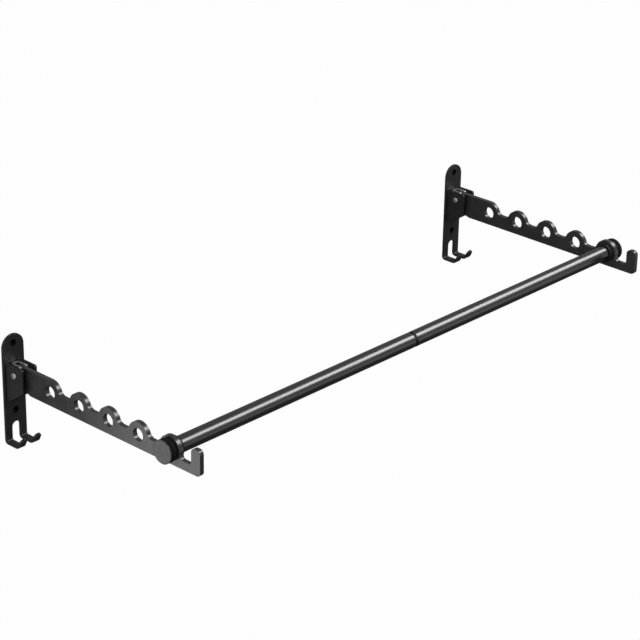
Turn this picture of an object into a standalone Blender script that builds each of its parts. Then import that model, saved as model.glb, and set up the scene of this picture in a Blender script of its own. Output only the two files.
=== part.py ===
"""Folding wall clothing rack: two wall brackets with fold-up arms and a two-piece rod between them.

Metres, +Z up. The wall is the plane Y = 0 and the room is on its -Y side. X = 0 lies midway between the
brackets, and Z = 0 is the height of the pivots that the arms fold about. The arms stand out level.
"""

import math

import bmesh
import bpy
from mathutils import Matrix, Vector

# Running gap between pieces that touch or turn in each other
CLEAR = 0.0003

# Wall plate, a bent sheet; heights are from the pivot and the lean is in degrees
PLATE_WIDTH = 0.032
PLATE_THICK = 0.003
PLATE_TOP = 0.0455
TOP_SCREW_Z = 0.0343
LOW_SCREW_Z = -0.0530
SCREW_HOLE_D = 0.003
COUNTERSINK_D = 0.009
COUNTERSINK_DEPTH = 0.001
SLOT_WIDTH = 0.0119
SLOT_TOP = -0.0686
HOOK_FOOT = -0.0938
HOOK_REACH = 0.0278
HOOK_TIP_RISE = 0.0146
HOOK_FOOT_BEND = 0.002
HOOK_TIP_BEND = 0.005
HOOK_TIP_LEAN = 25
HOOK_TIP_CORNER_R = 0.0048

# Ears of the same sheet, bent forward inside the plate's edges
EAR_INSET = 0.0045
EAR_TOP = 0.0108
EAR_NOSE = 0.0135
EAR_NOSE_FOOT = -0.022
EAR_ROOT_FOOT = -0.0395
EAR_CORNER_R = 0.0025

# Arm, a flat bar; its hole line, valleys, rod hole and lower edge are below the pivot
ARM_SPACING = 0.800
ARM_THICK = 0.006
ARM_FOOT = -0.024
FIRST_HOLE_OUT = 0.0675
HOLE_PITCH = 0.050
HOLE_LINE = -0.0068
ROD_HOLE_OUT = 0.269
ROD_HOLE_LINE = -0.0056
HOLE_D = 0.0162
BUMP_R = 0.0159
END_BUMP_R = 0.0164
VALLEY_FLOOR = -0.0056
VALLEY_FILLET = 0.008
TIP_GAP = 0.0177
TIP_GAP_FLOOR = 0.0108
TIP_GAP_FILLET = 0.005
TIP_POST = 0.0142
TIP_TOP = 0.0085
TIP_CORNER_R = 0.0055
TIP_INNER_R = 0.004
FOOT_CORNER_R = 0.0055
ROOT_LAND = 0.0009
HEEL_THICK = 0.0037
ROOT_FOOT_OUT = 0.032

# Pivot: bolt along X, from outside to inside head, ear, bush, saddle, arm, saddle, bush, ear, washer, nut
BOLT_D = 0.005
BOLT_HEAD_D = 0.0085
BOLT_HEAD_H = 0.0028
BOLT_CROWN_D = 0.0045
BOLT_DOME_H = 0.0017
BOLT_SOCKET_FLATS = 0.003
BOLT_SOCKET_DEPTH = 0.0016
BOLT_END = 0.001
SLEEVE_WALL = 0.0015
BUSH_D = 0.010
WASHER_D = 0.010
WASHER_THICK = 0.001
NUT_FLATS = 0.008
NUT_H = 0.005
SADDLE_THICK = 0.0027
SADDLE_BEND = 0.0015
SADDLE_ROOT_GAP = 0.001
SADDLE_WALL_GAP = 0.001
SADDLE_RISE = 0.0008
SADDLE_FOOT = -0.0095
SADDLE_NOSE = 0.004
SADDLE_CORNER_R = 0.003

# Rod: two tubes, joined off the middle
ROD_D = 0.020
ROD_WALL = 0.0012
ROD_JOINT_X = 0.003
JOINT_RING_W = 0.0034
JOINT_RING_INSET = 0.0009
INSERT_LENGTH = 0.030
JOINT_STUD_D = 0.010
JOINT_STUD_LENGTH = 0.052
PLUG_COLLAR = 0.005
PLUG_COLLAR_D = 0.0255
PLUG_LENGTH = 0.025
PLUG_SPIGOT_SHORT = 0.0006

# End caps
CAP_D = 0.029
CAP_THICK = 0.008
CAP_EDGE_R = 0.001
CAP_FLOOR = 0.003
CAP_WASHER_D = 0.028
CAP_WASHER_THICK = 0.0034
CAP_STUD_D = 0.008
CAP_STUD_IN_PLUG = 0.018
THREAD_CHAMFER = 0.0008

# Straight steps in a full round, in a hidden round or small hole, in a wide arc and in a bend or corner
ROUND_STEPS = 28
INNER_STEPS = 16
ARC_STEPS = 10
BEND_STEPS = 4

# Colours, roughness and metallic share of each finish
FINISHES = {
    "satin_black": ((0.022, 0.022, 0.024), 0.38, 0.6),
    "black_tube": ((0.030, 0.030, 0.033), 0.32, 0.6),
    "matt_black": ((0.012, 0.012, 0.012), 0.65, 0.0),
    "cap_grey": ((0.090, 0.090, 0.095), 0.45, 0.0),
    "bright_zinc": ((0.62, 0.62, 0.64), 0.30, 1.0),
    "rubber": ((0.010, 0.010, 0.010), 0.80, 0.0),
    "brass": ((0.55, 0.42, 0.20), 0.35, 1.0),
}

# Worked out from the sizes above; in a bracket, points are (out, up) from its pivot axis
ARM_TOP = HOLE_LINE + BUMP_R
ROOT_R = ARM_TOP + ROOT_LAND
PIVOT_OUT = ROOT_R + SADDLE_ROOT_GAP + SADDLE_THICK + SADDLE_WALL_GAP
WALL_BACK = -(PIVOT_OUT + PLATE_THICK)
PLATE_FRONT = -PIVOT_OUT
ROD_OUT = ROD_HOLE_OUT - PIVOT_OUT
FREE_HOLE_COUNT = int((ROD_HOLE_OUT - FIRST_HOLE_OUT) / HOLE_PITCH)
HALF_PLATE = PLATE_WIDTH / 2
HALF_ARM = ARM_THICK / 2
SADDLE_INNER = HALF_ARM + CLEAR
SADDLE_OUTER = SADDLE_INNER + SADDLE_THICK
SADDLE_FRONT = -(ROOT_R + SADDLE_ROOT_GAP)
SADDLE_TOP = ARM_TOP + SADDLE_RISE
EAR_OUTER = HALF_PLATE - EAR_INSET
EAR_INNER = EAR_OUTER - PLATE_THICK
BOLT_HOLE_R = BOLT_D / 2 + CLEAR
NUT_FACE = EAR_OUTER + CLEAR + WASHER_THICK + CLEAR
TUBE_BORE_R = ROD_D / 2 - ROD_WALL
INSERT_R = TUBE_BORE_R - CLEAR
CAP_STUD_HOLE_R = CAP_STUD_D / 2 + CLEAR


def arc(centre, radius, start, end, steps=BEND_STEPS):
    """Points on a circle from one angle to another, in degrees, both ends included."""
    points = []
    for i in range(steps + 1):
        turn = math.radians(start + (end - start) * i / steps)
        points.append((centre[0] + radius * math.cos(turn), centre[1] + radius * math.sin(turn)))
    return points


def circle(centre, radius, steps=ROUND_STEPS):
    """Points round a full circle."""
    return arc(centre, radius, 0, 360 * (steps - 1) / steps, steps - 1)


def bolt_hole():
    """The round hole for the pivot bolt."""
    return circle((0, 0), BOLT_HOLE_R, INNER_STEPS)


def polygon(flats, sides=6):
    """A regular polygon's corners, from its width across flats."""
    return circle((0, 0), flats / 2 / math.cos(math.pi / sides), sides)


def new_object(name, bm, finish):
    """Turn a bmesh into a named object with its finish."""
    bmesh.ops.recalc_face_normals(bm, faces=bm.faces)
    mesh = bpy.data.meshes.new(name)
    bm.to_mesh(mesh)
    bm.free()
    mesh.shade_smooth()
    mesh.set_sharp_from_angle(angle=math.radians(30))
    mesh.materials.append(finish_material(finish))
    obj = bpy.data.objects.new(name, mesh)
    bpy.context.scene.collection.objects.link(obj)
    return obj


def finish_material(finish):
    """The material of a finish, made on first use."""
    if finish in bpy.data.materials:
        return bpy.data.materials[finish]
    colour, roughness, metallic = FINISHES[finish]
    material = bpy.data.materials.new(finish)
    material.use_nodes = True
    shader = material.node_tree.nodes["Principled BSDF"]
    shader.inputs["Base Color"].default_value = (*colour, 1)
    shader.inputs["Roughness"].default_value = roughness
    shader.inputs["Metallic"].default_value = metallic
    return material


def side_point(x, point):
    """A point of the side view, given as (out, up), at a place along X."""
    return Vector((x, -point[0], point[1]))


def front_point(out, point):
    """A point of the front view, given as (x, up), at a distance out."""
    return Vector((point[0], -out, point[1]))


def plan_point(up, point):
    """A point of the plan, given as (x, out), at a height."""
    return Vector((point[0], -point[1], up))


def slab(loops, low, high, place):
    """A solid between two parallel planes: the first loop is its outline and the others are holes."""
    bm = bmesh.new()
    edges = []
    for loop in loops:
        verts = [bm.verts.new(place(low, point)) for point in loop]
        for i, vert in enumerate(verts):
            edges.append(bm.edges.new((vert, verts[i - 1])))
    faces = bmesh.ops.triangle_fill(bm, edges=edges, use_beauty=True)["geom"]
    flat = [item for item in faces if isinstance(item, bmesh.types.BMFace)]
    grown = bmesh.ops.extrude_face_region(bm, geom=flat, use_keep_orig=True)["geom"]
    moved = [item for item in grown if isinstance(item, bmesh.types.BMVert)]
    bmesh.ops.translate(bm, verts=moved, vec=place(high, (0, 0)) - place(low, (0, 0)))
    return bm


def turned(profile, steps=ROUND_STEPS):
    """A solid turned about the X axis from a closed profile of (x, radius) points."""
    bm = bmesh.new()
    verts = [bm.verts.new((x, 0, radius)) for x, radius in profile]
    edges = [bm.edges.new((vert, verts[i - 1])) for i, vert in enumerate(verts)]
    bmesh.ops.spin(
        bm, geom=verts + edges, cent=(0, 0, 0), axis=(1, 0, 0), angle=math.tau, steps=steps, use_merge=True
    )
    bmesh.ops.remove_doubles(bm, verts=bm.verts, dist=1e-6)
    flat_edges = [edge for edge in bm.edges if not edge.link_faces]
    bmesh.ops.delete(bm, geom=flat_edges, context="EDGES")
    return bm


def ring(x0, x1, inner, outer):
    """A turned profile with a bore."""
    return [(x0, inner), (x0, outer), (x1, outer), (x1, inner)]


def threaded_rod(x0, x1, radius):
    """A turned profile of a plain stud with a chamfer at each end."""
    short = radius - THREAD_CHAMFER
    near = [(x0, 0), (x0, short), (x0 + THREAD_CHAMFER, radius)]
    far = [(x1 - THREAD_CHAMFER, radius), (x1, short), (x1, 0)]
    return near + far


def cut(obj, cutter_bm, operation="DIFFERENCE"):
    """Cut a shape out of an object, or join it on, with a live Boolean."""
    cutter = new_object(f"{obj.name}_{operation.lower()}_{len(obj.modifiers)}", cutter_bm, "satin_black")
    cutter.hide_render = True
    cutter.display_type = "WIRE"
    boolean = obj.modifiers.new(operation.capitalize(), "BOOLEAN")
    boolean.operation = operation
    boolean.solver = "EXACT"
    boolean.object = cutter
    cutter.parent = obj


def empty(name, location, parent=None):
    """A marker that carries pieces; those that move have one on their joint's axis."""
    marker = bpy.data.objects.new(name, None)
    marker.empty_display_size = 0.02
    marker.location = location
    marker.parent = parent
    bpy.context.scene.collection.objects.link(marker)
    return marker


def plate_outline():
    """Front view of the flat plate: round top, straight sides, and two prongs beside the slot."""
    half_slot = SLOT_WIDTH / 2
    foot = HOOK_FOOT + PLATE_THICK + HOOK_FOOT_BEND
    outline = arc((0, PLATE_TOP - HALF_PLATE), HALF_PLATE, 0, 180, ARC_STEPS)
    outline += [(-HALF_PLATE, foot), (-half_slot, foot)]
    outline += arc((0, SLOT_TOP - half_slot), half_slot, 180, 0, ARC_STEPS)
    outline += [(half_slot, foot), (HALF_PLATE, foot)]
    return outline


def bend_hooks(bm):
    """Bend each prong's end forward into a foot and up into a tip that leans out."""
    foot = HOOK_FOOT + PLATE_THICK + HOOK_FOOT_BEND
    lean = math.radians(HOOK_TIP_LEAN)
    tip_run = (HOOK_TIP_RISE - PLATE_THICK - HOOK_TIP_BEND * (1 - math.sin(lean))) / math.cos(lean)
    tip_way = Vector((0, -math.sin(lean), math.cos(lean)))
    tip_reach = (HOOK_TIP_BEND + PLATE_THICK) * math.cos(lean) + tip_run * math.sin(lean)
    foot_run = HOOK_REACH - tip_reach - HOOK_FOOT_BEND
    foot_bend = side_point(0, (PLATE_FRONT + HOOK_FOOT_BEND, foot))
    tip_bend = side_point(0, (PLATE_FRONT + HOOK_REACH - tip_reach, HOOK_FOOT + PLATE_THICK + HOOK_TIP_BEND))
    ends = [face for face in bm.faces if all(abs(vert.co.z - foot) < 1e-6 for vert in face.verts)]
    for end in ends:
        end = spin_face(bm, end, foot_bend, math.pi / 2)
        end = push_face(bm, end, (0, -foot_run, 0))
        end = spin_face(bm, end, tip_bend, math.pi / 2 - lean)
        end = push_face(bm, end, tip_run * tip_way)
        corners = [edge for edge in end.edges if abs(edge.verts[0].co.x - edge.verts[1].co.x) < 1e-6]
        bmesh.ops.bevel(
            bm, geom=corners, offset=HOOK_TIP_CORNER_R, segments=BEND_STEPS, profile=0.5, affect="EDGES"
        )


def spin_face(bm, face, centre, angle):
    """Carry a face round an X axis, leaving the bend behind it."""
    made = bmesh.ops.spin(
        bm, geom=[face], cent=centre, axis=(-1, 0, 0), angle=angle, steps=BEND_STEPS, use_merge=False
    )["geom_last"]
    bmesh.ops.delete(bm, geom=[face], context="FACES_ONLY")
    return next(item for item in made if isinstance(item, bmesh.types.BMFace))


def push_face(bm, face, step):
    """Carry a face straight on by one step."""
    grown = bmesh.ops.extrude_discrete_faces(bm, faces=[face])["faces"][0]
    bmesh.ops.translate(bm, verts=grown.verts, vec=step)
    return grown


def ear_outline():
    """Side view of an ear: a level top, a plumb nose and a slanting foot; it starts inside the plate."""
    rear = PLATE_FRONT - PLATE_THICK / 2
    corner = EAR_NOSE - EAR_CORNER_R
    outline = [(rear, EAR_ROOT_FOOT), (PLATE_FRONT, EAR_ROOT_FOOT)]
    outline += [(corner, EAR_NOSE_FOOT), (EAR_NOSE, EAR_NOSE_FOOT + EAR_CORNER_R)]
    outline += arc((corner, EAR_TOP - EAR_CORNER_R), EAR_CORNER_R, 0, 90)
    outline.append((rear, EAR_TOP))
    return outline


def countersunk_hole():
    """A cutter for one wall-screw hole, turned about X: it tapers from the front of the plate."""
    hole_r = SCREW_HOLE_D / 2
    sink_r = COUNTERSINK_D / 2
    past = PLATE_THICK
    widening = (sink_r - hole_r) / COUNTERSINK_DEPTH
    return [
        (-past, 0),
        (-past, hole_r),
        (PLATE_THICK - COUNTERSINK_DEPTH, hole_r),
        (PLATE_THICK + past, sink_r + past * widening),
        (PLATE_THICK + past, 0),
    ]


def wall_plate(side):
    """Plate, ears and J-hooks as one bent sheet."""
    bm = slab([plate_outline()], WALL_BACK, PLATE_FRONT, front_point)
    bend_hooks(bm)
    plate = new_object(f"{side}_wall_plate", bm, "satin_black")
    for direction in (-1, 1):
        low, high = sorted((direction * EAR_INNER, direction * EAR_OUTER))
        cut(plate, slab([ear_outline(), bolt_hole()], low, high, side_point), "UNION")
    for height in (TOP_SCREW_Z, LOW_SCREW_Z):
        hole = turned(countersunk_hole(), INNER_STEPS)
        bmesh.ops.rotate(hole, verts=hole.verts, matrix=Matrix.Rotation(-math.pi / 2, 3, "Z"))
        bmesh.ops.translate(hole, verts=hole.verts, vec=front_point(WALL_BACK, (0, height)))
        cut(plate, hole)
    return plate


def bump_side(hole, radius, floor, fillet):
    """Half of the bump over a hole, from its top down a hollow fillet to the flat beyond it."""
    reach = radius + fillet
    rise = max(0, floor + fillet - hole[1])
    lean = math.degrees(math.asin(rise / reach))
    bump = arc(hole, radius, 90, lean, ARC_STEPS)
    hollow = arc((hole[0] + math.sqrt(reach**2 - rise**2), floor + fillet), fillet, 180 + lean, 270)
    return bump + hollow[1:] if rise > 0 else bump + hollow


def free_holes():
    """Centres of the free holes in the arm, as many as leave a full pitch before the hole of the rod."""
    return [(FIRST_HOLE_OUT - PIVOT_OUT + i * HOLE_PITCH, HOLE_LINE) for i in range(FREE_HOLE_COUNT)]


def rod_hole():
    """Centre of the arm's last hole, which holds the rod."""
    return (ROD_OUT, ROD_HOLE_LINE)


def arm_outline():
    """Side view of an arm: round root, heel, lower edge, upturned tip, and back over the bumps."""
    post = ROD_OUT + END_BUMP_R + TIP_GAP
    tip = post + TIP_POST
    gap_floor = ARM_FOOT + TIP_GAP_FLOOR
    heel_top = SADDLE_FOOT - CLEAR
    heel_back = PLATE_FRONT + CLEAR
    top_turn = math.degrees(math.asin(ARM_TOP / ROOT_R))
    heel_turn = math.degrees(math.asin(min(1, -heel_top / ROOT_R)))
    edge = arc((0, 0), ROOT_R, 180 - top_turn, 180 + heel_turn, ARC_STEPS)
    edge += [(heel_back, heel_top), (heel_back, heel_top - HEEL_THICK), (ROOT_FOOT_OUT - PIVOT_OUT, ARM_FOOT)]
    edge += arc((tip - FOOT_CORNER_R, ARM_FOOT + FOOT_CORNER_R), FOOT_CORNER_R, 270, 360)
    edge += arc((tip - TIP_CORNER_R, TIP_TOP - TIP_CORNER_R), TIP_CORNER_R, 0, 90)
    edge += arc((post + TIP_CORNER_R, TIP_TOP - TIP_CORNER_R), TIP_CORNER_R, 90, 180)
    edge += arc((post - TIP_INNER_R, gap_floor + TIP_INNER_R), TIP_INNER_R, 360, 270)
    edge += reversed(bump_side(rod_hole(), END_BUMP_R, gap_floor, TIP_GAP_FILLET))
    later = rod_hole()
    later_r = END_BUMP_R
    for hole in reversed(free_holes()):
        later_side = bump_side(later, later_r, VALLEY_FLOOR, VALLEY_FILLET)
        edge += [(2 * later[0] - point[0], point[1]) for point in later_side[1:]]
        edge += reversed(bump_side(hole, BUMP_R, VALLEY_FLOOR, VALLEY_FILLET))
        later = hole
        later_r = BUMP_R
    return edge


def arm(side):
    """Flat bar with its row of holes and the hole for the pivot's sleeve."""
    loops = [arm_outline(), circle((0, 0), BOLT_HOLE_R + SLEEVE_WALL + CLEAR, INNER_STEPS)]
    loops += [circle(hole, HOLE_D / 2) for hole in free_holes() + [rod_hole()]]
    return new_object(f"{side}_arm", slab(loops, -HALF_ARM, HALF_ARM, side_point), "satin_black")


def arm_sleeve(side):
    """Bearing sleeve in the arm's pivot hole."""
    profile = ring(-HALF_ARM, HALF_ARM, BOLT_HOLE_R, BOLT_HOLE_R + SLEEVE_WALL)
    return new_object(f"{side}_arm_sleeve", turned(profile, INNER_STEPS), "brass")


def saddle_outline():
    """Side view that the saddle is trimmed to: rounded at the open end, and running past the closed one."""
    rear = SADDLE_FRONT - 2 * SADDLE_THICK
    corner = SADDLE_NOSE - SADDLE_CORNER_R
    outline = [(rear, SADDLE_TOP), (rear, SADDLE_FOOT)]
    outline += arc((corner, SADDLE_FOOT + SADDLE_CORNER_R), SADDLE_CORNER_R, 270, 360)
    outline += arc((corner, SADDLE_TOP - SADDLE_CORNER_R), SADDLE_CORNER_R, 0, 90)
    return outline


def saddle_plan():
    """Plan of the U, as (x, out): its closed end is rounded, and its legs run past the nose."""
    past = SADDLE_NOSE + SADDLE_THICK
    bend_x = SADDLE_INNER - SADDLE_BEND
    bend_out = SADDLE_FRONT + SADDLE_BEND
    outer_bend = SADDLE_BEND + SADDLE_THICK
    plan = [(SADDLE_OUTER, past)]
    plan += arc((bend_x, bend_out), outer_bend, 0, -90)
    plan += arc((-bend_x, bend_out), outer_bend, 270, 180)
    plan += [(-SADDLE_OUTER, past), (-SADDLE_INNER, past)]
    plan += arc((-bend_x, bend_out), SADDLE_BEND, 180, 270)
    plan += arc((bend_x, bend_out), SADDLE_BEND, -90, 0)
    plan.append((SADDLE_INNER, past))
    return plan


def pivot_saddle(side):
    """U-shaped clip round the arm's root; its closed end faces the wall."""
    low = SADDLE_FOOT - SADDLE_THICK
    high = SADDLE_TOP + SADDLE_THICK
    saddle = new_object(f"{side}_pivot_saddle", slab([saddle_plan()], low, high, plan_point), "bright_zinc")
    past = SADDLE_OUTER + SADDLE_THICK
    cut(saddle, slab([saddle_outline(), bolt_hole()], -past, past, side_point), "INTERSECT")
    return saddle


def pivot_bush(side, which, direction):
    """Plain bush that fills the space between the saddle and an ear."""
    low, high = sorted((direction * (SADDLE_OUTER + CLEAR), direction * (EAR_INNER - CLEAR)))
    profile = ring(low, high, BOLT_HOLE_R, BUSH_D / 2)
    return new_object(f"{side}_pivot_bush_{which}", turned(profile, INNER_STEPS), "matt_black")


def pivot_bolt(side):
    """Button-head bolt with a hexagon socket."""
    seat = -EAR_OUTER - CLEAR
    crown = seat - BOLT_HEAD_H
    end = NUT_FACE + NUT_H + BOLT_END
    shank = BOLT_D / 2
    flat = BOLT_CROWN_D / 2
    dome = BOLT_HEAD_D / 2 - flat
    profile = [(crown, 0)]
    for wide, rise in arc((0, 0), 1, 90, 0):
        profile.append((crown + BOLT_DOME_H * (1 - rise), flat + dome * wide))
    profile += [(seat, BOLT_HEAD_D / 2), (seat, shank)]
    profile += [(end - THREAD_CHAMFER, shank), (end, shank - THREAD_CHAMFER), (end, 0)]
    bolt = new_object(f"{side}_pivot_bolt", turned(profile, INNER_STEPS), "bright_zinc")
    cut(bolt, slab([polygon(BOLT_SOCKET_FLATS)], crown - BOLT_HEAD_H, crown + BOLT_SOCKET_DEPTH, side_point))
    return bolt


def pivot_washer(side):
    """Flat washer under the nut."""
    low = EAR_OUTER + CLEAR
    profile = ring(low, low + WASHER_THICK, BOLT_HOLE_R, WASHER_D / 2)
    return new_object(f"{side}_pivot_washer", turned(profile, INNER_STEPS), "bright_zinc")


def pivot_nut(side):
    """Hexagon nut on the bolt's far end."""
    body = slab([polygon(NUT_FLATS), bolt_hole()], NUT_FACE, NUT_FACE + NUT_H, side_point)
    return new_object(f"{side}_pivot_nut", body, "bright_zinc")


def rod_end(side):
    """X of an arm's inner face and the direction from there to its outside."""
    direction = -1 if side == "left" else 1
    return direction * (ARM_SPACING / 2 - HALF_ARM), direction


def along(start, direction, points):
    """Profile points given as (distance, radius) from a start, laid out along X in one direction."""
    return [(start + direction * distance, radius) for distance, radius in points]


def rod_plug(side):
    """End plug: spigot in the arm's hole, collar wider than the rod, and a body inside the tube."""
    face, direction = rod_end(side)
    spigot = ARM_THICK - PLUG_SPIGOT_SHORT
    spigot_r = HOLE_D / 2 - CLEAR
    collar = -(CLEAR + PLUG_COLLAR)
    collar_r = PLUG_COLLAR_D / 2
    inner = collar - PLUG_LENGTH
    points = [(spigot, CAP_STUD_HOLE_R), (spigot, spigot_r), (-CLEAR, spigot_r), (-CLEAR, collar_r)]
    points += [(collar, collar_r), (collar, INSERT_R), (inner, INSERT_R), (inner, CAP_STUD_HOLE_R)]
    return new_object(f"{side}_rod_plug", turned(along(face, direction, points)), "matt_black")


def rod_tube(side):
    """One half of the rod, from its plug's collar to the joint ring."""
    face, direction = rod_end(side)
    outer_end = face - direction * (CLEAR + PLUG_COLLAR + CLEAR)
    joint_end = ROD_JOINT_X + direction * (JOINT_RING_W / 2 + CLEAR)
    profile = ring(outer_end, joint_end, TUBE_BORE_R, ROD_D / 2)
    return new_object(f"{side}_rod_tube", turned(profile), "black_tube")


def joint_insert(side):
    """Threaded insert in a tube's inner end."""
    direction = rod_end(side)[1]
    near = ROD_JOINT_X + direction * (JOINT_RING_W / 2 + CLEAR)
    profile = ring(near, near + direction * INSERT_LENGTH, JOINT_STUD_D / 2 + CLEAR, INSERT_R)
    return new_object(f"{side}_joint_insert", turned(profile), "bright_zinc")


def joint_stud():
    """Threaded stud that joins the two inserts."""
    low = ROD_JOINT_X - JOINT_STUD_LENGTH / 2
    profile = threaded_rod(low, low + JOINT_STUD_LENGTH, JOINT_STUD_D / 2)
    return new_object("rod_joint_stud", turned(profile, INNER_STEPS), "bright_zinc")


def joint_ring():
    """Dark ring that shows as the groove between the tubes."""
    low = ROD_JOINT_X - JOINT_RING_W / 2
    profile = ring(low, low + JOINT_RING_W, JOINT_STUD_D / 2 + CLEAR, ROD_D / 2 - JOINT_RING_INSET)
    return new_object("rod_joint_ring", turned(profile), "matt_black")


def end_cap(side):
    """Round cap outside the arm, with a blind hole for its stud."""
    face, direction = rod_end(side)
    seat = ARM_THICK + CLEAR + CAP_WASHER_THICK + CLEAR
    crown = seat + CAP_THICK
    radius = CAP_D / 2
    blind = crown - CAP_FLOOR
    points = [(seat, CAP_STUD_HOLE_R), (seat, radius)]
    points += arc((crown - CAP_EDGE_R, radius - CAP_EDGE_R), CAP_EDGE_R, 90, 0)
    points += [(crown, 0), (blind, 0), (blind, CAP_STUD_HOLE_R)]
    return new_object(f"{side}_end_cap", turned(along(face, direction, points)), "cap_grey")


def cap_washer(side):
    """Soft washer between the cap and the arm."""
    face, direction = rod_end(side)
    low = ARM_THICK + CLEAR
    radius = CAP_WASHER_D / 2
    points = [(low, CAP_STUD_HOLE_R), (low, radius)]
    points += [(low + CAP_WASHER_THICK, radius), (low + CAP_WASHER_THICK, CAP_STUD_HOLE_R)]
    return new_object(f"{side}_cap_washer", turned(along(face, direction, points)), "rubber")


def cap_stud(side):
    """Threaded stud from the cap's blind hole through the arm into the plug."""
    face, direction = rod_end(side)
    blind = ARM_THICK + CLEAR + CAP_WASHER_THICK + CLEAR + CAP_THICK - CAP_FLOOR
    low, high = sorted((face + direction * (blind - CLEAR), face - direction * CAP_STUD_IN_PLUG))
    profile = threaded_rod(low, high, CAP_STUD_D / 2)
    return new_object(f"{side}_cap_stud", turned(profile, INNER_STEPS), "bright_zinc")


def carry(marker, pieces):
    """Hang pieces on a marker, which is their origin."""
    for piece in pieces:
        piece.parent = marker


def bracket(side):
    """One wall bracket with its pivot and arm; returns the marker on the arm's fold axis."""
    direction = rod_end(side)[1]
    place = (direction * ARM_SPACING / 2, WALL_BACK, 0)
    base = empty(f"{side}_bracket", place)
    fixed = [wall_plate(side), pivot_saddle(side), pivot_bolt(side), pivot_washer(side), pivot_nut(side)]
    fixed += [pivot_bush(side, "outer", -1), pivot_bush(side, "inner", 1)]
    carry(base, fixed)
    fold = empty(f"{side}_fold_axis", (0, 0, 0), base)
    carry(fold, [arm(side), arm_sleeve(side)])
    return fold


def rod(fold):
    """The rod and its caps, about the rod's own axis; it folds with the left arm."""
    axis = empty("rod_axis", (ARM_SPACING / 2, -ROD_OUT, ROD_HOLE_LINE), fold)
    carry(axis, [joint_stud(), joint_ring()])
    for side in ("left", "right"):
        carry(axis, [rod_plug(side), rod_tube(side), joint_insert(side)])
        turn = empty(f"{side}_cap_axis", (0, 0, 0), axis)
        carry(turn, [end_cap(side), cap_washer(side), cap_stud(side)])


def main():
    for old in list(bpy.data.objects):
        bpy.data.objects.remove(old, do_unlink=True)
    left_fold = bracket("left")
    bracket("right")
    rod(left_fold)


main()
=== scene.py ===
"""Looks of a folding wall clothing rack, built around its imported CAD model.

Laid out as an add-on: property groups hold the sizes and colours, one operator makes each group of pieces,
and a panel lists them. Metres, +Z up; the wall is Y = 0, the room is on its -Y side, and the rod lies
along X.
"""

import math
from contextlib import contextmanager
from functools import partial

import bmesh
import bpy
from bpy.props import FloatProperty, FloatVectorProperty, IntProperty, PointerProperty
from bpy.types import NodeSocket, Operator, Panel, PropertyGroup
from mathutils import Matrix, Vector


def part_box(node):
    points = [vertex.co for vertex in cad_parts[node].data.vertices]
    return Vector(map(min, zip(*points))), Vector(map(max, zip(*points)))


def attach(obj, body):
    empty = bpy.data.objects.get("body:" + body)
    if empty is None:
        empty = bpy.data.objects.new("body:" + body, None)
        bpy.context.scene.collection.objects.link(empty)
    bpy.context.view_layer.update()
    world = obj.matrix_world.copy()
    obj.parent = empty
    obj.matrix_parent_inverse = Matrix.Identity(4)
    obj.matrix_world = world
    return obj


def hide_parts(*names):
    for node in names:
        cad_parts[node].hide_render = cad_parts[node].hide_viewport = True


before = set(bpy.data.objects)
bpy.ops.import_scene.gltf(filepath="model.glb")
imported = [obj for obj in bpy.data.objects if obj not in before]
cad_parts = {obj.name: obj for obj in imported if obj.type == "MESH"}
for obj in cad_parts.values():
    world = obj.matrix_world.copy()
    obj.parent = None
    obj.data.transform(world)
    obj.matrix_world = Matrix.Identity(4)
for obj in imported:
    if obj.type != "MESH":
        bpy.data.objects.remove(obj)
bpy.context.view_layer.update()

bl_info = {
    "name": "Folding Wall Clothing Rack",
    "version": (1, 0, 0),
    "blender": (4, 5, 0),
    "location": "View3D > Sidebar > Rack",
    "description": "Builds the finished pieces of a folding wall clothing rack on its CAD frame",
    "category": "Object",
}

SIDES = ("left", "right")
WALL_BODY = "wall_brackets"
ROD_BODY = "left_arm_and_rod"


def middle(node):
    """Centre of a CAD node's box."""
    low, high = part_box(node)
    return (low + high) / 2


def round_size(node):
    """Ends along X and radius of a turned CAD node."""
    low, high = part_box(node)
    return low.x, high.x, (high.z - low.z) / 2


# Places and sizes read from the frame
PIVOT_OUT = -middle("left_arm_sleeve").y
ROD_OUT = -middle("left_rod_tube").y
ROD_UP = middle("left_rod_tube").z
ROD_R = round_size("left_rod_tube")[2]
PIVOT_LINE = (-PIVOT_OUT, 0.0)
ROD_LINE = (-ROD_OUT, ROD_UP)
PLATE_LOW, PLATE_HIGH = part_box("left_wall_plate")
ARM_LOW, ARM_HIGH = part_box("left_arm")
HALF_PLATE = (PLATE_HIGH.x - PLATE_LOW.x) / 2
ARM_THICK = ARM_HIGH.x - ARM_LOW.x

# Shape of the wall plate's bent sheet; heights are from the pivot, distances out are from the wall
SHEET = 0.003
SCREW_HEIGHTS = (0.0343, -0.0530)
SCREW_HOLE_R = 0.001
COUNTERSINK_R = 0.0045
COUNTERSINK_DEPTH = 0.001
HALF_SLOT = 0.00595
SLOT_TOP = -0.0686
HOOK_REACH = SHEET + 0.0278
HOOK_FOOT_BEND_R = 0.002
HOOK_TIP_BEND_R = 0.005
HOOK_TIP_LEAN = math.radians(25)
HOOK_TIP_RISE = 0.0146
HOOK_TIP_CORNER_R = 0.0048
EAR_INSET = 0.0045
EAR_TOP = 0.0108
EAR_NOSE = PIVOT_OUT + 0.0135
EAR_NOSE_FOOT = -0.022
EAR_ROOT_FOOT = -0.0395
EAR_CORNER_R = 0.0025
PIVOT_HOLE_R = 0.0028

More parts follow.
